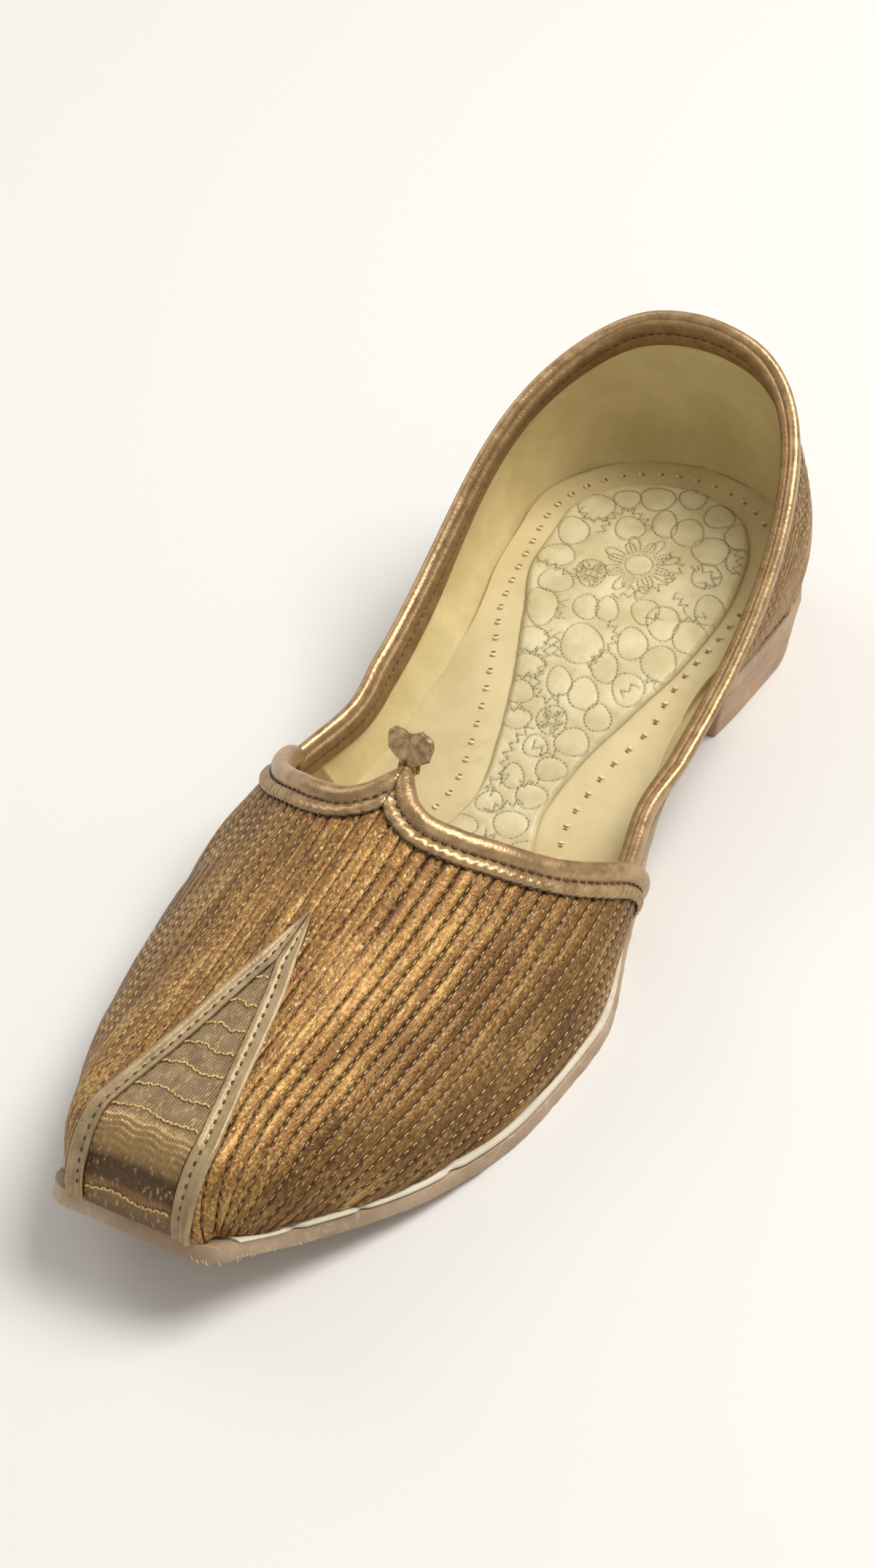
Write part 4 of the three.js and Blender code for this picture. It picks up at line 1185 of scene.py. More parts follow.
lining_leather, tree, shader = new_material("cream lining", {"Roughness": 0.42})
grain = place_group(tree, leather_grain, object_place(tree), {"Scale": 1500.0, "Unevenness": 45.0})
wrinkle_place = stretched(tree, object_place(tree), (1.0, 1.0, 0.25))
wrinkles = textured(tree, "ShaderNodeTexNoise", wrinkle_place, {"Scale": 160.0, "Detail": 5.0})
tone = ramp(tree, grain.outputs["Tone"],
            [(0.3, (0.58, 0.46, 0.205)), (0.7, (0.71, 0.585, 0.30))])
tree.links.new(tone, shader.inputs["Base Color"])
wrinkle_height = calculate(tree, "ADD", calculate(tree, "MULTIPLY", wrinkles.outputs[0], 1.5),
                           calculate(tree, "MULTIPLY", grain.outputs["Height"], 0.3))
bump_into(tree, shader, wrinkle_height, 0.3)


def quarter_lining_place(u, v):
    walk = mix(-0.97, 0.97, u)
    climb = mix(0.995, 0.0, v)
    skin = quarter_skin(walk, climb)
    waves = 0.35 * ripples(skin * [1.0, 1.0, 0.3], 7.0, 11) * np.sin(np.pi * clamp01(v))
    return quarter_point(walk, climb, -wall + waves)


quarter_lining = lay_grid("quarter_lining", 240, 40, quarter_lining_place)
turn_faces(quarter_lining, towards=(0, 60, 40))
thicken(quarter_lining, lining_thickness)


def vamp_lining_place(u, v):
    share = 0.985 * (2 * u - 1)
    reach, size = reach_on_vamp(lambda reach: np.abs(share), v, start=1.0)
    lift = -wall - vamp_lining_gap + 0.2 * ripples(vamp_skin(reach, size), 9.0, 12)
    return vamp_point(reach, np.sign(share) * size, lift)


vamp_lining = lay_grid("vamp_lining", 120, 60, vamp_lining_place)
turn_faces(vamp_lining, towards=(0, -60, 20))
thicken(vamp_lining, lining_thickness)
for lining in (quarter_lining, vamp_lining):
    smooth_faces(lining, 60.0)
    hand_over(lining, lining_leather)

# Topline binding
# A rolled piping of pale bronze kidskin over the quarters' edge, with a bronze facing strip
# sewn down inside by one row.
facing_drop = 7.5
facing_row = 2.9
topline_end = 0.9

foil_leather = leather_material(
    "bronze foil leather", {"Metallic": 0.6}, {"Scale": 1300.0, "Unevenness": 240.0},
    [(0.33, 0.205, 0.095), (0.50, 0.335, 0.17)], 0.12,
    rubbed=({"Scale": 500.0, "Amount": 0.27}, (0.66, 0.51, 0.31)), gloss=[(0.2, 0.27), (0.8, 0.42)])
facing_leather = leather_material(
    "bronze facing", {"Metallic": 0.4, "Roughness": 0.5}, {"Scale": 1500.0, "Unevenness": 300.0},
    [(0.21, 0.12, 0.044), (0.30, 0.185, 0.075)], 0.2)

# Each corner of the rolled section: on the wall by its drop and lift, or at the rim by how
# far out and how far up it stands
topline_profile = [
    ("wall", 3.0, 0.3), ("wall", 3.1, 0.7), ("wall", 2.8, 1.0), ("wall", 1.8, 1.25),
    ("wall", 0.8, 1.45), ("rim", 1.6, 0.2), ("rim", 1.5, 0.95), ("rim", 1.05, 1.55),
    ("rim", 0.35, 1.82), ("rim", -0.4, 1.7), ("rim", -0.95, 1.3), ("rim", -1.25, 0.85),
    ("rim", -1.6, 1.15), ("rim", -2.2, 1.2), ("rim", -2.8, 0.95), ("rim", -3.25, 0.4),
    ("wall", 0.5, -3.45), ("wall", 1.5, -3.4), ("wall", 2.4, -3.25), ("wall", facing_row, -2.9),
    ("wall", 3.5, -3.2), ("wall", 4.6, -3.2), ("wall", 5.8, -3.15), ("wall", 7.0, -3.1),
    ("wall", facing_drop, -2.9), ("wall", facing_drop, -2.35), ("wall", 4.0, -2.3),
    ("rim", -2.3, 0.2), ("rim", 0.3, 0.2),
]
facing_corners = range(11, 25)


def topline_corner(kind, first, second, walk):
    if kind == "wall":
        return quarter_point(walk, 1 - first / quarter_tall(walk), np.full_like(walk, second))
    edge = quarter_skin(walk, 1.0)
    upward = unit(edge - quarter_skin(walk, near_rim))
    return edge + quarter_normal(walk, 1.0) * first + upward * second


def sweep(name, steps, corners, start, end, corner_at):
    """A tube whose section has these corners at each step between two ends, closed and capped"""
    places = np.linspace(start, end, steps + 1)
    rings = np.stack([corner_at(*corner, places) for corner in corners], 1)
    closed = np.concatenate([rings, rings[:, :1]], 1)

    def place(u, v):
        return closed[np.rint(v * steps).astype(int), np.rint(u * len(corners)).astype(int)]

    return lay_grid(name, len(corners), steps, place)


topline = sweep("topline_roll", 380, topline_profile, -topline_end, topline_end, topline_corner)
topline.data.materials.append(foil_leather)
topline.data.materials.append(facing_leather)
for index, face in enumerate(topline.data.polygons):
    face.material_index = int(index % len(topline_profile) in facing_corners)
weld(topline)
smooth_faces(topline, 70.0)
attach(topline, "root")
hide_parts("topline_binding")

facing_walks = np.linspace(-0.87, 0.87, 700)
facing_climb = 1 - facing_row / quarter_tall(facing_walks)
facing_path = quarter_point(facing_walks, facing_climb, np.full_like(facing_walks, -3.1))
facing_stitches = sew("facing_stitches", stitch_row(
    facing_path, -quarter_normal(facing_walks, facing_climb), 2.4, 0.6, 0.24, 0.2))
hand_over(facing_stitches, dark_thread)

# Throat bindings
# A strip of bronze foil leather over each scallop: rolled round the edge, sewn down by one
# dark row in a groove and turned in below. The two meet in a seam under the tab.
rim_gap = 0.5
throat_groove = 3.3
throat_end = 0.95
lip_edge = 6.7
pucker_pitch = 2.3
pucker_depth = 0.5
throat_profile = [
    ("lip", lip_edge, 0.3), ("lip", lip_edge + 0.25, 0.8), ("lip", lip_edge, 1.35),
    ("lip", 6.0, 1.75), ("lip", 5.0, 1.75), ("lip", 4.1, 1.35), ("skin", throat_groove, 0.55),
    ("skin", 2.75, 1.15), ("skin", 2.2, 1.7), ("skin", 1.5, 2.0), ("skin", 0.8, 2.1),
    ("rim", 2.0, 0.1), ("rim", 1.65, 0.9), ("rim", 0.95, 1.55), ("rim", 0.1, 1.85),
    ("rim", -1.0, 1.95), ("rim", -2.0, 1.85), ("rim", -2.8, 1.5), ("rim", -3.3, 1.0),
    ("rim", -3.5, 0.3),
    ("rim", -3.45, -1.2), ("rim", -3.3, -2.6), ("rim", -2.5, -2.6), ("rim", -2.5, rim_gap),
    ("rim", 0.3, rim_gap), ("skin", 3.6, 0.3),
]


rim_places = np.linspace(0, 1, 400)
rim_points = vamp_skin(throat_station(rim_places), rim_places)
rim_lengths = lengths_along(rim_points)


def throat_corner(kind, first, second, across):
    """A corner of the outer scallop's binding: on the skin or its puckered lip by how far in
    from the edge and how high, or at the rim by how high and how far beyond the edge"""

    def edge(place):
        return vamp_skin(throat_station(np.abs(place)), place)

    if kind == "lip":
        turn = np.interp(across, rim_places, rim_lengths) / pucker_pitch + 0.35 * first
        gather = np.abs(np.sin(np.pi * turn)) ** 0.7
        second = second - pucker_depth * (1 - gather) * (second > 0.5)
        first = first - 0.2 * (1 - gather) * (first >= lip_edge)

    low = np.clip(across, probe, 1 - probe)
    tangent = unit(edge(low + probe) - edge(low - probe))
    reach = throat_station(across)
    normal = vamp_normal(reach, low)
    inward = unit(np.cross(normal, tangent))
    inward = np.where(inward[..., 1:2] > 0, -inward, inward)
    if kind == "rim":
        return edge(across) + normal * first - inward * second
    along = (vamp_skin(reach + probe, low) - vamp_skin(reach - probe, low)) / (2 * probe)
    over = (vamp_skin(reach, low + probe) - vamp_skin(reach, low - probe)) / (2 * probe)
    aa = np.sum(along * along, -1)
    ao = np.sum(along * over, -1)
    oo = np.sum(over * over, -1)
    det = aa * oo - ao * ao
    along_in = np.sum(along * inward, -1) * first
    over_in = np.sum(over * inward, -1) * first
    d_reach = (along_in * oo - over_in * ao) / det
    d_across = (over_in * aa - along_in * ao) / det
    place = np.clip(across + d_across, -1, 1)
    return vamp_point(reach + d_reach, place, np.broadcast_to(second, across.shape))


seam_plane = centre_line(throat_station(0.0))
throat_rows = {"groove": [], "edge": []}


def mirrored(points, across):
    """The inner scallop's points from the outer one's"""
    flipped = points * [-1.0, 1.0, 1.0]
    flipped[..., 0] += 2 * centre_line(throat_station(across))
    return flipped


for side, node in ((1.0, "throat_binding_outer"), (-1.0, "throat_binding_inner")):
    def corner(kind, first, second, across):
        points = throat_corner(kind, first, second, across)
        return points if side > 0 else mirrored(points, across)

    binding = sweep(node + "_roll", 320, throat_profile, 0.0, throat_end, corner)
    weld(binding)
    activate(binding)
    bpy.ops.object.mode_set(mode="EDIT")
    bpy.ops.mesh.select_all(action="SELECT")
    seam_place = (seam_plane + shift[0] + side * 0.1) * MM
    bpy.ops.mesh.bisect(plane_co=(seam_place, 0, 0), plane_no=(side, 0, 0), use_fill=True,
                        clear_inner=True)
    bpy.ops.object.mode_set(mode="OBJECT")
    smooth_faces(binding, 70.0)
    hand_over(binding, foil_leather, node)
    row_across = np.linspace(0.015, 0.93, 500)
    for key, distance, height, pitch, width in (("groove", throat_groove, 0.85, 2.4, 0.4),
                                                ("edge", 7.0, 0.7, pucker_pitch, 0.3)):
        row_path = corner("skin", distance, height, row_across)
        row_up = row_path - corner("skin", distance, height - 1.0, row_across)
        kept = (row_path[:, 0] - seam_plane) * side > 0.6
        throat_rows[key] += stitch_row(row_path[kept], row_up[kept], pitch, 0.66, width, 0.25)
hand_over(sew("throat_stitches", throat_rows["groove"]), dark_thread)
hand_over(sew("throat_edge_stitches", throat_rows["edge"]), dark_thread)

# Throat tab
# A small fishtail of crinkled foil leather, folded double down its middle and set in the seam
# where the two scallops meet.
tab_thickness = 1.6
tab_lean = math.radians(22.0)

# Half widths by the share of the height, and the height of the cut top by the distance across
tab_sides = [(0.0, 2.4), (0.24, 2.2), (0.36, 3.6), (0.5, 5.4), (0.86, 6.0), (1.0, 5.6)]
tab_tops = [(-6.0, 9.2), (-1.4, 9.5), (-0.4, 9.3), (2.4, 10.5), (6.0, 8.2)]


def tab_place(u, v):
    root = vamp_point(throat_station(0.0), 0.0, 0.0)
    rise = np.array([0.0, math.sin(tab_lean), math.cos(tab_lean)])
    thick = np.array([0.0, math.cos(tab_lean), -math.sin(tab_lean)])
    share = 2 * u - 1
    x = share * np.interp(v, *zip(*tab_sides))
    up = v * np.interp(share * tab_tops[-1][0], *zip(*tab_tops))
    flat = np.stack([x, up, np.zeros_like(x)], -1)
    crinkle = 0.1 * ripples(flat, 0.9, 21) + 0.25 * ripples(flat, 2.4, 22)
    plump = 0.25 * (1 - share**2) - 0.45 * np.exp(-(((x + 0.6) / 0.45) ** 2))
    plump = plump + 0.25 * np.exp(-(((np.abs(share) - 0.9) / 0.1) ** 2))
    crinkle = crinkle * np.sin(np.pi * np.minimum(v * 4, 0.5))
    depth = 0.5 * wall - 0.5 * tab_thickness - plump - crinkle
    own = np.stack([x, 0 * x, 0 * x], -1) + rise * up[:, None] + thick * depth[:, None]
    return root + own


crinkled_foil = leather_material(
    "crinkled foil leather", {"Metallic": 0.65}, {"Scale": 700.0, "Unevenness": 500.0},
    [(0.31, 0.18, 0.08), (0.68, 0.49, 0.28)], 0.16, gloss=[(0.3, 0.28), (0.7, 0.5)])

tab = lay_grid("throat_tab_leather", 40, 32, tab_place)
turn_faces(tab, away_from=(-1, 60, 60))
thicken(tab, tab_thickness)
round_edges(tab, 0.2)
smooth_faces(tab, 60.0)
hand_over(tab, crinkled_foil, "throat_tab")

# Toe strips
# Two strips of pale gold leather that run from a point on the ridge to the toe's corners and
# down over them, each with a folded outer edge and one row of dark stitches.
strip_width = 4.3
strip_thickness = 0.9
toe_turn = 0.97
toe_end = nose_start + toe_turn * nose_span
halvings = 30
strip_row_share = 0.62

pale_leather = leather_material(
    "pale gold leather", {"Metallic": 0.4}, {"Scale": 1400.0, "Unevenness": 200.0},
    [(0.29, 0.20, 0.10), (0.43, 0.32, 0.175)], 0.12,
    rubbed=({"Scale": 300.0, "Amount": 0.3}, (0.60, 0.48, 0.30)), gloss=[(0.2, 0.36), (0.8, 0.55)])


def across_at(reach, distance):
    """The place across the vamp where its surface is a distance from the centre line"""
    low = np.zeros_like(distance)
    high = np.ones_like(distance)
    middle_x = centre_line(nose_at(reach)[0])
    for _ in range(halvings):
        middle = (low + high) / 2
        inside = vamp_skin(reach, middle)[..., 0] - middle_x < distance
        low = np.where(inside, middle, low)
        high = np.where(inside, high, middle)
    return (low + high) / 2


def strip_spot(side, t, v, lift):
    reach = mix(triangle_tip, toe_end, v)
    outer = 0.5 * toe_width * triangle_half(reach)
    inner = np.maximum(surface_gap / 2, outer - strip_width)
    distance = mix(np.maximum(outer, surface_gap), inner, t)
    return vamp_point(reach, side * across_at(reach, distance), lift)


def strip_place(side, u, v):
    fold = 0.45 * np.exp(-(((u - 0.16) / 0.15) ** 2))
    fold = fold - 0.3 * np.exp(-(((u - strip_row_share) / 0.1) ** 2))
    crumple = 0.22 * np.sin(u * 17.0 + 5.0 * v) * ease(0.84, 0.93, v)
    narrow = ease(0.0, 0.15, v)
    lift = surface_gap + strip_thickness + fold * narrow + crumple
    return strip_spot(side, u, v, lift)


strip_rows = []
for side, node in ((1.0, "toe_strip_outer"), (-1.0, "toe_strip_inner")):
    strip = lay_grid(node + "_leather", 20, 180, lambda u, v: strip_place(side, u, v))
    turn_faces(strip, away_from=(-5, -100, 20))
    thicken(strip, strip_thickness - 0.1)
    round_edges(strip, 0.25)
    smooth_faces(strip, 50.0)
    hand_over(strip, pale_leather, node)
    row_v = np.linspace(0.04, 0.97, 400)
    row_t = np.full_like(row_v, strip_row_share)
    row_path = strip_spot(side, row_t, row_v, np.full_like(row_v, 1.0))
    row_up = row_path - strip_spot(side, row_t, row_v, np.full_like(row_v, 0.2))
    strip_rows += stitch_row(row_path, row_up, 2.6, 0.5, 0.34, 0.2)
strip_stitches = sew("toe_strip_stitches", strip_rows)
hand_over(strip_stitches, dark_thread)

# Toe panel
# Taupe ribbed cloth between the strips, crossed every 8 mm by a row of gold zigzag thread and
# turned down over the square toe, where the rows lie close.
panel_thickness = 0.6
panel_fit = strip_width + surface_gap
panel_rows = [0.13, 0.225, 0.315, 0.395, 0.475, 0.57, 0.655, 0.93]
panel_folds = [0.7, 0.722, 0.744, 0.766, 0.79, 0.815, 0.9, 0.96]
panel_start = 0.765
panel_length = 75.0

ribbed_cloth, tree, shader = new_material("ribbed cloth", {"Metallic": 0.4})
cloth, parts = cloth_map(tree)
weave = place_group(tree, thread_weave, cloth,
                    {"Threads across": 1.9, "Threads along": 0.9})
cords = textured(tree, "ShaderNodeTexWave", cloth,
                 {"Scale": 0.55, "Distortion": 0.6, "Detail": 1.0}, bands_direction="X")
patches = textured(tree, "ShaderNodeTexNoise", cloth, {"Scale": 0.25, "Detail": 4.0})
shade = calculate(tree, "ADD", calculate(tree, "MULTIPLY", cords.outputs["Fac"], 0.4),
                  calculate(tree, "MULTIPLY", patches.outputs[0], 0.8))
tone = ramp(tree, shade, [(0.25, (0.15, 0.09, 0.04)), (0.9, (0.38, 0.265, 0.14))])
down_panel = calculate(tree, "DIVIDE", parts.outputs[1], panel_length)
# Satin colour down the turned-over nose with painted light: a painted highlight where it rolls over, a
# painted dark reflection below it and a lighter band near the bottom
satin_and_painted_light = ramp(tree, down_panel, [(0.68, (0.60, 0.40, 0.17)), (0.79, (0.48, 0.30, 0.12)),
                                (0.84, (0.075, 0.036, 0.012)), (0.88, (0.09, 0.045, 0.015)),
                                (0.92, (0.34, 0.20, 0.075)), (1.0, (0.16, 0.085, 0.03))])
satin_and_painted_light = blend_colours(tree, calculate(tree, "MULTIPLY", patches.outputs[0], 0.6), satin_and_painted_light,
                      (0.12, 0.06, 0.02))
tone = blend_colours(tree, parts.outputs[2], tone, satin_and_painted_light)
tone = blend_colours(tree, calculate(tree, "MULTIPLY", weave.outputs["Glint"], 0.8), tone,
                     (0.56, 0.39, 0.18))
tree.links.new(tone, shader.inputs["Base Color"])
tree.links.new(ramp(tree, parts.outputs[2], [(0.0, 0.55), (1.0, 0.3)]), shader.inputs["Roughness"])
bump_into(tree, shader, calculate(tree, "ADD", cords.outputs["Fac"], weave.outputs["Height"]), 0.18)


def panel_spot(side_share, v, lift):
    reach = mix(panel_start, toe_end, v)
    half = 0.5 * toe_width * triangle_half(reach) - panel_fit
    size = across_at(reach, np.maximum(0.05, np.abs(side_share) * half))
    return vamp_point(reach, np.sign(side_share) * size, lift), half


def panel_place(u, v):
    share = 2 * u - 1
    welts = sum(np.exp(-(((v - row) * panel_length / 0.8) ** 2)) for row in panel_rows)
    sagged = v + 0.006 * np.sin(share * 9.0)
    folds = sum(np.exp(-(((sagged - row) * panel_length / 0.5) ** 2)) for row in panel_folds)
    lift = surface_gap + panel_thickness + 0.18 * welts + 0.3 * folds - 0.25 * np.abs(share) ** 6
    points, half = panel_spot(share, v, lift)
    # The cloth map's third number is the share of the satin colour with its painted light
    return points, np.stack([share * half, v * panel_length, ease(0.66, 0.7, v)], -1)


panel = lay_grid("toe_panel_cloth", 44, 240, panel_place)
turn_faces(panel, away_from=(-5, -100, 20))
thicken(panel, panel_thickness - 0.05)
smooth_faces(panel, 50.0)
hand_over(panel, ribbed_cloth, "toe_panel")

zigzag_rows = []
for row in panel_rows:
    reach = mix(panel_start, toe_end, row)
    half = float(0.5 * toe_width * triangle_half(reach) - panel_fit)
    count = max(2, int(2 * half / 0.95))
    shares = np.linspace(-0.97, 0.97, count + 1)
    swing = 0.34 * np.where(np.arange(count + 1) % 2 == 0, 1, -1) + 0.5 * np.sin(shares * 5.0)
    swing = swing / panel_length
    lift = np.full(count + 1, surface_gap + panel_thickness + 0.3)
    corners, _ = panel_spot(shares, row + swing, lift)
    below, _ = panel_spot(shares, row + swing, lift - 0.6)
    for k in range(count):
        span = corners[k + 1] - corners[k]
        zigzag_rows.append(((corners[k] + corners[k + 1]) / 2, span, corners[k] - below[k],
                            0.56 * np.linalg.norm(span), 0.32, 0.28))
zigzag = sew("toe_panel_zigzag", zigzag_rows)
hand_over(zigzag, gold_thread)

# Insole
# A cream leather footbed on a thin wedge, 4 mm thick and higher at the heel, with its rim
# pressed round. A row of pricked stitches runs inside its edge.
insole_thickness = 4.0
insole_wedge = 5.0
insole_rounding = 0.8
insole_inset = 2.0
insole_front_inset = 6.0
insole_crown = 0.4
insole_sink = 0.28
rim_wave = 0.3
rim_waves = 61.0
wedge_end = 0.34

insole_leather = leather_material(
    "cream insole leather", {"Roughness": 0.4}, {"Scale": 1700.0, "Unevenness": 38.0},
    [(0.60, 0.475, 0.235), (0.72, 0.60, 0.335)], 0.08,
    rubbed=({"Scale": 60.0, "Amount": 0.3}, (0.52, 0.41, 0.19)))


def insole_top(station):
    wedge = insole_wedge * (1 - ease(0.0, wedge_end, station))
    return sole_top(station) + surface_gap + insole_thickness + wedge


def insole_place(u, v):
    wave = rim_wave * np.sin(v * rim_waves)
    inset = mix(insole_inset, insole_front_inset, ease(0.56, 0.7, v)) + wave
    points = sole_sheet(inset, u, v)
    crown = insole_crown * (1 - np.abs(2 * u - 1) ** 3) - insole_sink
    points[:, 2] = insole_top(station_at(points[:, 1])) + crown
    return points


insole = lay_grid("insole_leather", 40, 150, insole_place)
weld(insole, fill=False)
turn_faces(insole, away_from=(0, 0, -90))
thicken(insole, insole_thickness - 0.4)
round_edges(insole, insole_rounding, 3)
smooth_faces(insole)
hand_over(insole, insole_leather, "insole")

# Insole pad
# A thin padded panel of the same leather on the footbed, sewn all over with a traditional
# pattern of circles, petals and sprigs in olive thread, which puckers it into small pillows.
pad_thickness = 1.6
pad_crown = 0.28
pad_pucker = 0.12
pad_skin = 1.0
pad_crowding = 1.25
pad_edge_width = 1.6
pillow_width = 2.4
pucker_width = 0.4
pad_sections = [
    (0.045, 0.02, 0.02), (0.05, 0.16, 0.16), (0.07, 0.36, 0.34), (0.12, 0.5, 0.46),
    (0.18, 0.5, 0.5), (0.25, 0.38, 0.47), (0.32, 0.25, 0.36), (0.38, 0.17, 0.25),
    (0.43, 0.13, 0.21), (0.48, 0.19, 0.28), (0.54, 0.34, 0.4), (0.6, 0.45, 0.47),
    (0.66, 0.5, 0.5),
]
pad_inner = smooth_curve(pad_sections, 1)
pad_outer = smooth_curve(pad_sections, 2)
pad_first = pad_sections[0][0]
pad_last = pad_sections[-1][0]

# Circles and petals of the pattern, charted: place, half length, half width, turn
pad_ovals = [
    (-19.9, 110.6, 5.0, 4.7, -9), (-21.3, 100.2, 5.2, 4.0, -59), (-21.2, 90.5, 4.9, 3.9, 18),
    (-17.3, 82.2, 4.6, 4.3, -8), (-16.5, 72.6, 6.7, 4.1, -61), (-13.8, 61.8, 4.3, 3.8, -10),
    (-11.4, 54.2, 4.8, 3.3, 14), (-9.7, 46.6, 3.9, 3.2, 4), (-6.8, 39.7, 3.8, 2.8, 11),
    (-6.5, 119.7, 4.6, 4.4, 6), (-13.7, 116.5, 3.6, 3.4, 8), (1.9, 123.4, 3.9, 3.6, -60),
    (11.0, 119.9, 4.4, 4.0, -61), (18.9, 115.0, 4.9, 3.7, -65), (-0.6, 111.7, 5.2, 3.2, -64),
    (6.2, 111.1, 5.2, 4.2, -62), (14.3, 107.4, 5.1, 4.8, -56), (-10.3, 88.2, 5.0, 3.8, -60),
    (-8.3, 106.8, 4.3, 3.9, -53), (-6.0, 76.7, 4.5, 3.2, -61), (-0.7, 78.1, 4.5, 2.9, -62),
    (8.4, 81.1, 4.5, 3.5, -61), (14.2, 79.3, 6.1, 4.1, -63), (17.2, 98.7, 4.5, 3.8, -62),
    (22.6, 107.0, 4.4, 3.6, -64), (23.0, 88.0, 5.3, 3.8, -64), (22.4, 77.5, 5.6, 4.4, -63),
    (19.3, 66.5, 5.8, 4.4, -61), (15.6, 56.5, 5.0, 4.0, -56), (10.3, 69.8, 5.6, 3.8, -62),
    (-1.3, 65.0, 6.6, 5.3, -55), (7.3, 60.3, 4.7, 3.4, -58), (-1.5, 52.7, 4.4, 3.1, -57),
    (5.8, 51.5, 4.8, 3.7, -54), (12.2, 46.6, 4.0, 3.3, -48), (1.8, 42.1, 4.3, 3.7, -44),
    (9.2, 38.4, 4.4, 3.8, 0), (1.1, 34.4, 3.3, 2.9, -22), (7.6, 30.0, 4.0, 3.2, 10),
    (-0.4, 25.1, 3.6, 2.8, -52), (6.4, 21.6, 4.0, 3.4, 4), (-2.4, 16.6, 3.4, 3.2, 20),
    (5.4, 12.6, 4.4, 3.9, -3), (-5.6, 7.6, 4.0, 3.6, 10), (12.0, 6.0, 4.2, 3.8, 30),
    (3.0, 3.0, 4.6, 4.2, 0), (-11.0, -0.5, 4.4, 3.8, -20), (18.0, -3.0, 4.4, 3.8, 20),
    (-3.5, -5.5, 4.2, 3.8, 0), (9.5, -6.5, 4.6, 4.2, 40), (-15.5, -10.0, 4.6, 4.0, 0),
    (1.5, -15.0, 5.2, 4.6, 0), (20.0, -14.0, 4.6, 4.0, 10), (-9.0, -17.5, 4.4, 3.8, 30),
    (12.0, -19.0, 4.8, 4.2, -20), (-19.5, -22.0, 4.8, 4.2, 0), (21.0, -26.0, 4.8, 4.2, 0),
    (-1.0, -27.0, 5.0, 4.4, 0), (-12.0, -31.0, 4.6, 4.0, 15), (10.5, -32.0, 4.8, 4.2, -10),
]
rosettes = [(-0.3, 95.6, 3.6, 10.6, 16), (-10.3, 88.2, 1.6, 4.6, 9), (1.8, 42.1, 1.0, 3.6, 9),
            (1.5, -15.0, 2.0, 6.0, 12)]
sprigs = [
    [(-11.2, 65.9), (-8.5, 60.1), (-7.4, 54.8), (-6.6, 49.6), (-3.2, 46.3), (0.4, 47.6), (1.2, 50.2)],
    [(-8.8, 66.0), (-6.6, 60.8), (-4.9, 58.1)],
    [(1.3, 74.1), (5.2, 71.9), (5.9, 67.5), (3.6, 62.2), (4.5, 57.6)],
    [(-2.3, 39.1), (-4.3, 34.7), (-4.8, 30.1), (-3.7, 25.3), (-0.3, 22.9)],
    [(-0.1, 34.8), (5.0, 32.9), (7.3, 35.2)], [(2.0, 23.7), (4.9, 24.8), (7.2, 27.1)],
    [(-14.6, 102.0), (-14.5, 109.3), (-11.6, 113.7), (-5.9, 110.9), (-2.1, 107.5)],
    [(4.3, 97.1), (5.8, 102.8), (10.5, 98.8), (7.8, 89.7), (-0.4, 86.1)],
    [(-1.5, 82.7), (2.8, 85.5), (5.9, 84.9)],
    [(12.3, 99.6), (15.2, 100.8), (20.2, 99.1), (19.4, 94.8), (15.6, 97.0)],
    [(12.1, 89.6), (17.8, 86.2), (17.1, 84.9)], [(10.1, 79.0), (11.7, 81.6), (13.4, 79.4)],
    [(-14.4, 87.0), (-12.2, 89.9), (-8.8, 87.4), (-11.4, 85.3)],
    [(-2.5, 19.0), (-5.6, 20.9), (-4.2, 23.7), (-0.6, 22.0)],
    [(-12.2, 77.0), (-11.5, 71.3), (-8.6, 69.7)], [(18.7, 48.2), (19.7, 44.8), (18.0, 42.7)],
    [(17.2, 58.5), (15.0, 56.0), (14.5, 52.7)], [(18.0, 61.2), (21.9, 60.2), (22.6, 57.3)],
    [(-16.0, 56.4), (-11.0, 59.1), (-8.8, 57.5)], [(-14.5, 49.1), (-8.8, 51.9), (-6.4, 51.3)],
    [(-9.9, 41.6), (-5.8, 43.1)], [(17.0, 82.0), (22.2, 84.3), (22.8, 87.5)],
    [(20.1, 110.0), (22.4, 108.0), (23.3, 101.4)],
    [(-1.9, 13.8), (-0.3, 16.0), (2.3, 17.8), (5.4, 19.7)], [(0.3, 8.1), (3.3, 7.7), (5.9, 5.5)],
    [(-25.6, 87.1), (-19.9, 86.6), (-14.1, 85.1)], [(-23.6, 108.5), (-19.7, 105.0), (-14.1, 108.4)],
    [(-8.0, -3.5), (-12.0, -6.0), (-10.0, -12.0)], [(6.0, -1.5), (8.0, 2.5), (13.0, 0.0)],
]


def pad_edges(y):
    station = station_at(y)
    middle = centre_line(station)
    return (middle - 0.5 * ball_width * pad_inner(station),
            middle + 0.5 * ball_width * pad_outer(station))


pattern_margin = 1.4
sprig_step = 1.35
sprig_reach = 1.1
pattern_stitch = 1.15
pattern_thread = 0.18
pad_curves = []
for x, y, long_half, wide_half, turn in pad_ovals:
    around = np.linspace(0, 2 * np.pi, 40)
    bend = 1 + 0.05 * np.sin(3 * around + x)
    own = np.stack([long_half * bend * np.cos(around), wide_half * bend * np.sin(around)], -1)
    angle = math.radians(turn)
    turned = own @ np.array([[math.cos(angle), math.sin(angle)], [-math.sin(angle), math.cos(angle)]])
    pad_curves.append(turned + [x, y])
for x, y, inner, outer, count in rosettes:
    around = np.linspace(0, 2 * np.pi, 30)
    pad_curves.append(np.stack([x + inner * np.cos(around), y + inner * np.sin(around)], -1))
    for k in range(count):
        angle = 2 * np.pi * (k + 0.5 * (k % 2)) / count
        reach = np.linspace(0, np.pi, 9)
        far = mix(inner * 1.25, outer * (1.0 if k % 2 else 0.82), np.sin(reach))
        swing = 0.24 * (6.0 / count + 0.5) * np.cos(reach)
        petal = [x + far * np.cos(angle + swing), y + far * np.sin(angle + swing)]
        pad_curves.append(np.stack(petal, -1))
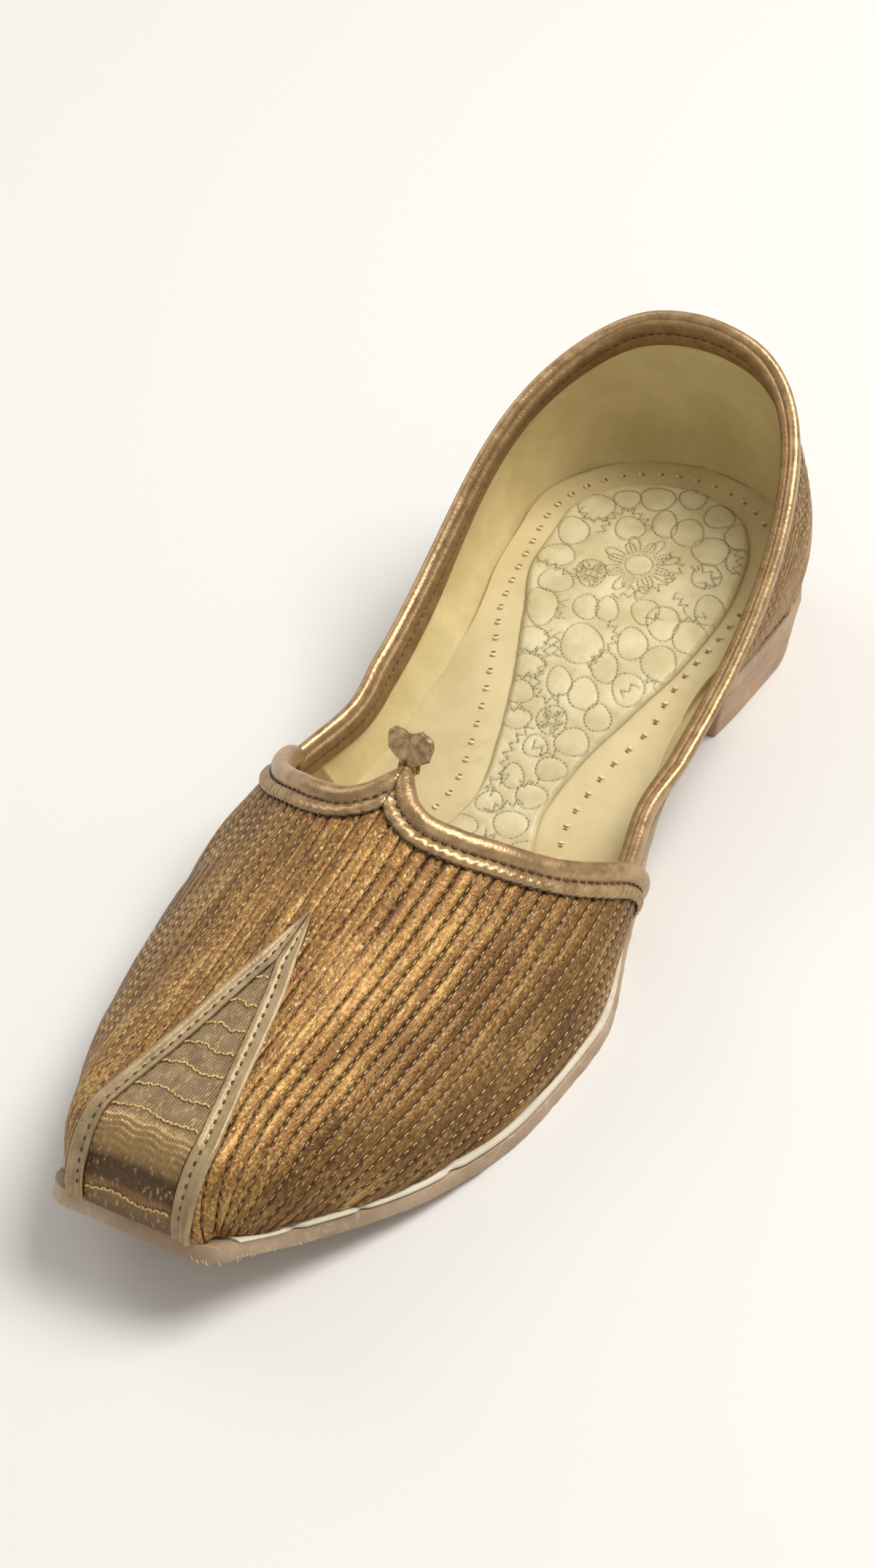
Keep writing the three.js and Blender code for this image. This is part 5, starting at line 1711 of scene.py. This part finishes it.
for line in sprigs:
    line = np.array(line)
    lengths = lengths_along(line)
    path = point_along(line, lengths, np.arange(0, lengths[-1], sprig_step))
    wave = sprig_reach * np.where(np.arange(len(path)) % 2 == 0, 1.0, -1.0)
    turn = unit(np.gradient(path, axis=0))
    pad_curves.append(path + np.stack([-turn[:, 1], turn[:, 0]], -1) * wave[:, None])


def inside_pad(x, y, margin):
    low, high = pad_edges(y)
    station = station_at(y)
    ends = (station > pad_first + margin / shoe_length) & (station < pad_last)
    return (x > low + margin) & (x < high - margin) & ends


outline_v = np.linspace(pad_first, pad_last, 240)
outline_y = lengthwise(outline_v)
outline_left, outline_right = pad_edges(outline_y)
rim_curves = [np.stack([outline_left, outline_y], -1), np.stack([outline_right, outline_y], -1)]


def distance_to(curves, points, spacing=0.35):
    """How far each flat point is from the nearest of some curves, in millimetres"""
    dots = []
    for curve in curves:
        lengths = lengths_along(curve)
        dots.append(point_along(curve, lengths, np.arange(0, lengths[-1], spacing)))
    dots = np.concatenate(dots)
    tree = kdtree.KDTree(len(dots))
    for index, (x, y) in enumerate(dots):
        tree.insert((x, y, 0.0), index)
    tree.balance()
    return np.array([tree.find((x, y, 0.0))[2] for x, y in points])


def pad_place(u, v):
    station = mix(pad_first, pad_last, v**pad_crowding)
    y = lengthwise(station)
    low, high = pad_edges(y)
    x = mix(low, high, u)
    flat = np.stack([x, y], -1)
    to_rim = distance_to(rim_curves, flat)
    to_thread = distance_to(pad_curves, flat)
    edge = 1 - (1 - clamp01(to_rim / pad_edge_width)) ** 2
    pillow = pad_crown * clamp01(to_thread / pillow_width) ** 0.7
    pillow = pillow - pad_pucker * np.exp(-((to_thread / pucker_width) ** 2))
    height = edge * (pad_thickness - 0.1 + pillow * clamp01(to_rim / 3.0))
    z = insole_top(station) + surface_gap + height
    return np.stack([x, y, z], -1), np.stack([x, y, np.minimum(to_thread, to_rim)], -1)


pad_leather, tree, shader = new_material("cream pad leather", {"Roughness": 0.46})
_, parts = cloth_map(tree)
grain = place_group(tree, leather_grain, object_place(tree), {"Scale": 1500.0, "Unevenness": 90.0})
tone = ramp(tree, grain.outputs["Tone"],
            [(0.3, (0.565, 0.47, 0.25)), (0.7, (0.72, 0.63, 0.385))])
# Painted shade: darker along the stitched puckers and at the pad's rim
pucker_shade = ramp(tree, calculate(tree, "MULTIPLY", parts.outputs[2], 0.5), [(0.0, 0.8), (0.3, 0.0)])
tree.links.new(blend_colours(tree, pucker_shade, tone, (0.36, 0.30, 0.155)), shader.inputs["Base Color"])
bump_into(tree, shader, grain.outputs["Height"], 0.12)

pad = lay_grid("insole_pad_leather", 96, 290, pad_place)
weld(pad, fill=False)
turn_faces(pad, away_from=(0, 0, -90))
thicken(pad, pad_skin)
smooth_faces(pad, 60.0)
hand_over(pad, pad_leather, "insole_pad")

olive_thread = thread_material("olive thread", (0.13, 0.105, 0.045), (0.25, 0.205, 0.10), 0.0)
cream_thread = thread_material("cream thread", (0.68, 0.57, 0.32), (0.84, 0.74, 0.47), 0.0)
pattern_rows = []
for curve in pad_curves:
    z = insole_top(station_at(curve[:, 1])) + surface_gap + pad_thickness - pad_pucker - 0.1
    path = np.concatenate([curve, z[:, None]], 1)
    up = np.tile([0.0, 0.0, 1.0], (len(path), 1))
    for stitch in stitch_row(path, up, pattern_stitch, 0.72, pattern_thread, pattern_thread):
        if inside_pad(stitch[0][0], stitch[0][1], pattern_margin):
            pattern_rows.append(stitch)
pattern = sew("pad_pattern_stitches", pattern_rows)
hand_over(pattern, olive_thread)

# Insole pricks
# The row that holds pad and footbed down: short cross stitches in cream thread, each beside
# a small dark lens of olive thread that is painted shade for its prick hole.
prick_offset = 6.4
prick_pitch = 5.0
prick_margin = 5.6
prick_first = 36
prick_last = 235
prick_round = 0.93
prick_back = range(prick_last, prick_first - 1, -1)
rim_turn = np.linspace(-0.5, 0.5, 60) * np.pi
prick_left = [(outline_left[k] - prick_offset, outline_y[k]) for k in prick_back]
prick_right = [(outline_right[k] + prick_offset, outline_y[k]) for k in range(prick_first, prick_last)]
heel_seat = lengthwise(heel_centre)
prick_radius = sole_half(heel_centre) - insole_inset - prick_margin
prick_heel = [(prick_radius * math.sin(t), heel_seat + prick_round * prick_radius * math.cos(t))
              for t in rim_turn]
prick_flat = np.array(prick_left + prick_heel + prick_right, float)
prick_limit = sole_half(station_at(prick_flat[:, 1])) - insole_inset - prick_margin
prick_middle = centre_line(station_at(prick_flat[:, 1]))
prick_flat[:, 0] = np.clip(prick_flat[:, 0], prick_middle - prick_limit, prick_middle + prick_limit)
prick_steps = lengths_along(prick_flat)
hole_shade_rows = []
cross_rows = []
for place in np.arange(2.0, prick_steps[-1] - 2.0, prick_pitch):
    # Each prick gets a cream cross stitch and, beside it, a small dark lens as painted shade for its
    # hole
    for rows, shift_along, lift, size in ((cross_rows, 0.0, 0.25, (0.85, 0.6, 0.45)),
                                          (hole_shade_rows, 1.0, 0.1, (0.65, 0.28, 0.12))):
        spots = [point_along(prick_flat, prick_steps, place + shift_along + d)
                 for d in (-0.6, 0.0, 0.6)]
        along = np.append(spots[2] - spots[0], 0.0)
        over = np.cross(along, [0.0, 0.0, 1.0])
        height = float(insole_top(station_at(spots[1][1]))) + lift
        rows.append((np.append(spots[1], height), over, np.array([0.0, 0.0, 1.0]), *size))
for name, rows, thread in (("insole_prick_hole_shades", hole_shade_rows, olive_thread),
                           ("insole_cross_stitches", cross_rows, cream_thread)):
    pricks = sew(name, rows)
    hand_over(pricks, thread)

# Frayed threads
# A few loose ends of thread and fibre that stand out of the sole's edge at the toe.
random.seed(5)
fibre_rows = []
for _ in range(26):
    walk = random.uniform(0.86, corner_walk)
    side = random.choice((1.0, 1.0, -1.0))
    x, y = sole_outline(walk, side, 0.1)
    z = float(sole_bottom(station_at(y))) + random.uniform(0.2, 1.2)
    away = np.array([side * random.uniform(0.2, 1.0), -random.uniform(0.4, 1.0),
                     random.uniform(-0.5, 0.2)])
    root = np.array([float(x), float(y), z])
    fibre_rows.append((root + away * 0.3, away, np.array([0.0, 0.0, 1.0]),
                       random.uniform(0.5, 1.1), 0.07, 0.07))
fibres = sew("sole_fibres", fibre_rows)
hand_over(fibres, cream_thread)

# Stage
# A plain pale floor, soft light from above and behind, and the camera where the photograph's
# was, turned to the one shoe.
floor_material, tree, shader = new_material(
    "floor", {"Roughness": 0.9, "Base Color": (0.76, 0.75, 0.725, 1.0)})
bpy.ops.mesh.primitive_plane_add(size=12.0, location=(0, 0, 0))
floor = bpy.context.object
floor.name = "floor"
floor.data.materials.append(floor_material)

sky_colour = (1.0, 0.985, 0.96, 1.0)
sky_strength = 0.44
lamp_colour = (1.0, 0.97, 0.93)
world = bpy.data.worlds.new("studio")
world.use_nodes = True
sky = world.node_tree.nodes["Background"]
sky.inputs["Color"].default_value = sky_colour
sky.inputs["Strength"].default_value = sky_strength
bpy.context.scene.world = world


def add_light(name, place, size, power):
    light = bpy.data.lights.new(name, "AREA")
    light.shape = "SQUARE"
    light.size = size
    light.energy = power
    light.color = lamp_colour
    lamp = bpy.data.objects.new(name, light)
    lamp.location = place
    lamp.rotation_euler = (Vector((0, 0, 0.03)) - Vector(place)).to_track_quat("-Z", "Y").to_euler()
    bpy.context.scene.collection.objects.link(lamp)


add_light("key", (0.6, 0.45, 1.35), 0.8, 22.0)
add_light("side", (-1.2, 0.3, 0.9), 0.8, 4.0)
add_light("front", (0.5, -1.4, 1.0), 1.0, 2.0)

picture_height = 2150.0
photo_focal = 3554.6
one_shoe_zoom = 1.25
camera_place = np.array([272.8, -474.03, 566.59])
camera_back = Vector((0.36429, -0.61703, 0.69754))
camera_up = Vector((-0.30654, 0.62782, 0.71545))
camera_right = camera_up.cross(camera_back)
camera_data = bpy.data.cameras.new("camera")
camera_data.lens = photo_focal * one_shoe_zoom * camera_data.sensor_width / picture_height
camera = bpy.data.objects.new("camera", camera_data)
camera.matrix_world = Matrix.Translation(Vector((camera_place + shift) * MM)) @ Matrix(
    (camera_right, camera_up, camera_back)
).transposed().to_4x4()
bpy.context.scene.collection.objects.link(camera)
bpy.context.scene.camera = camera
bpy.context.scene.view_settings.view_transform = "Standard"
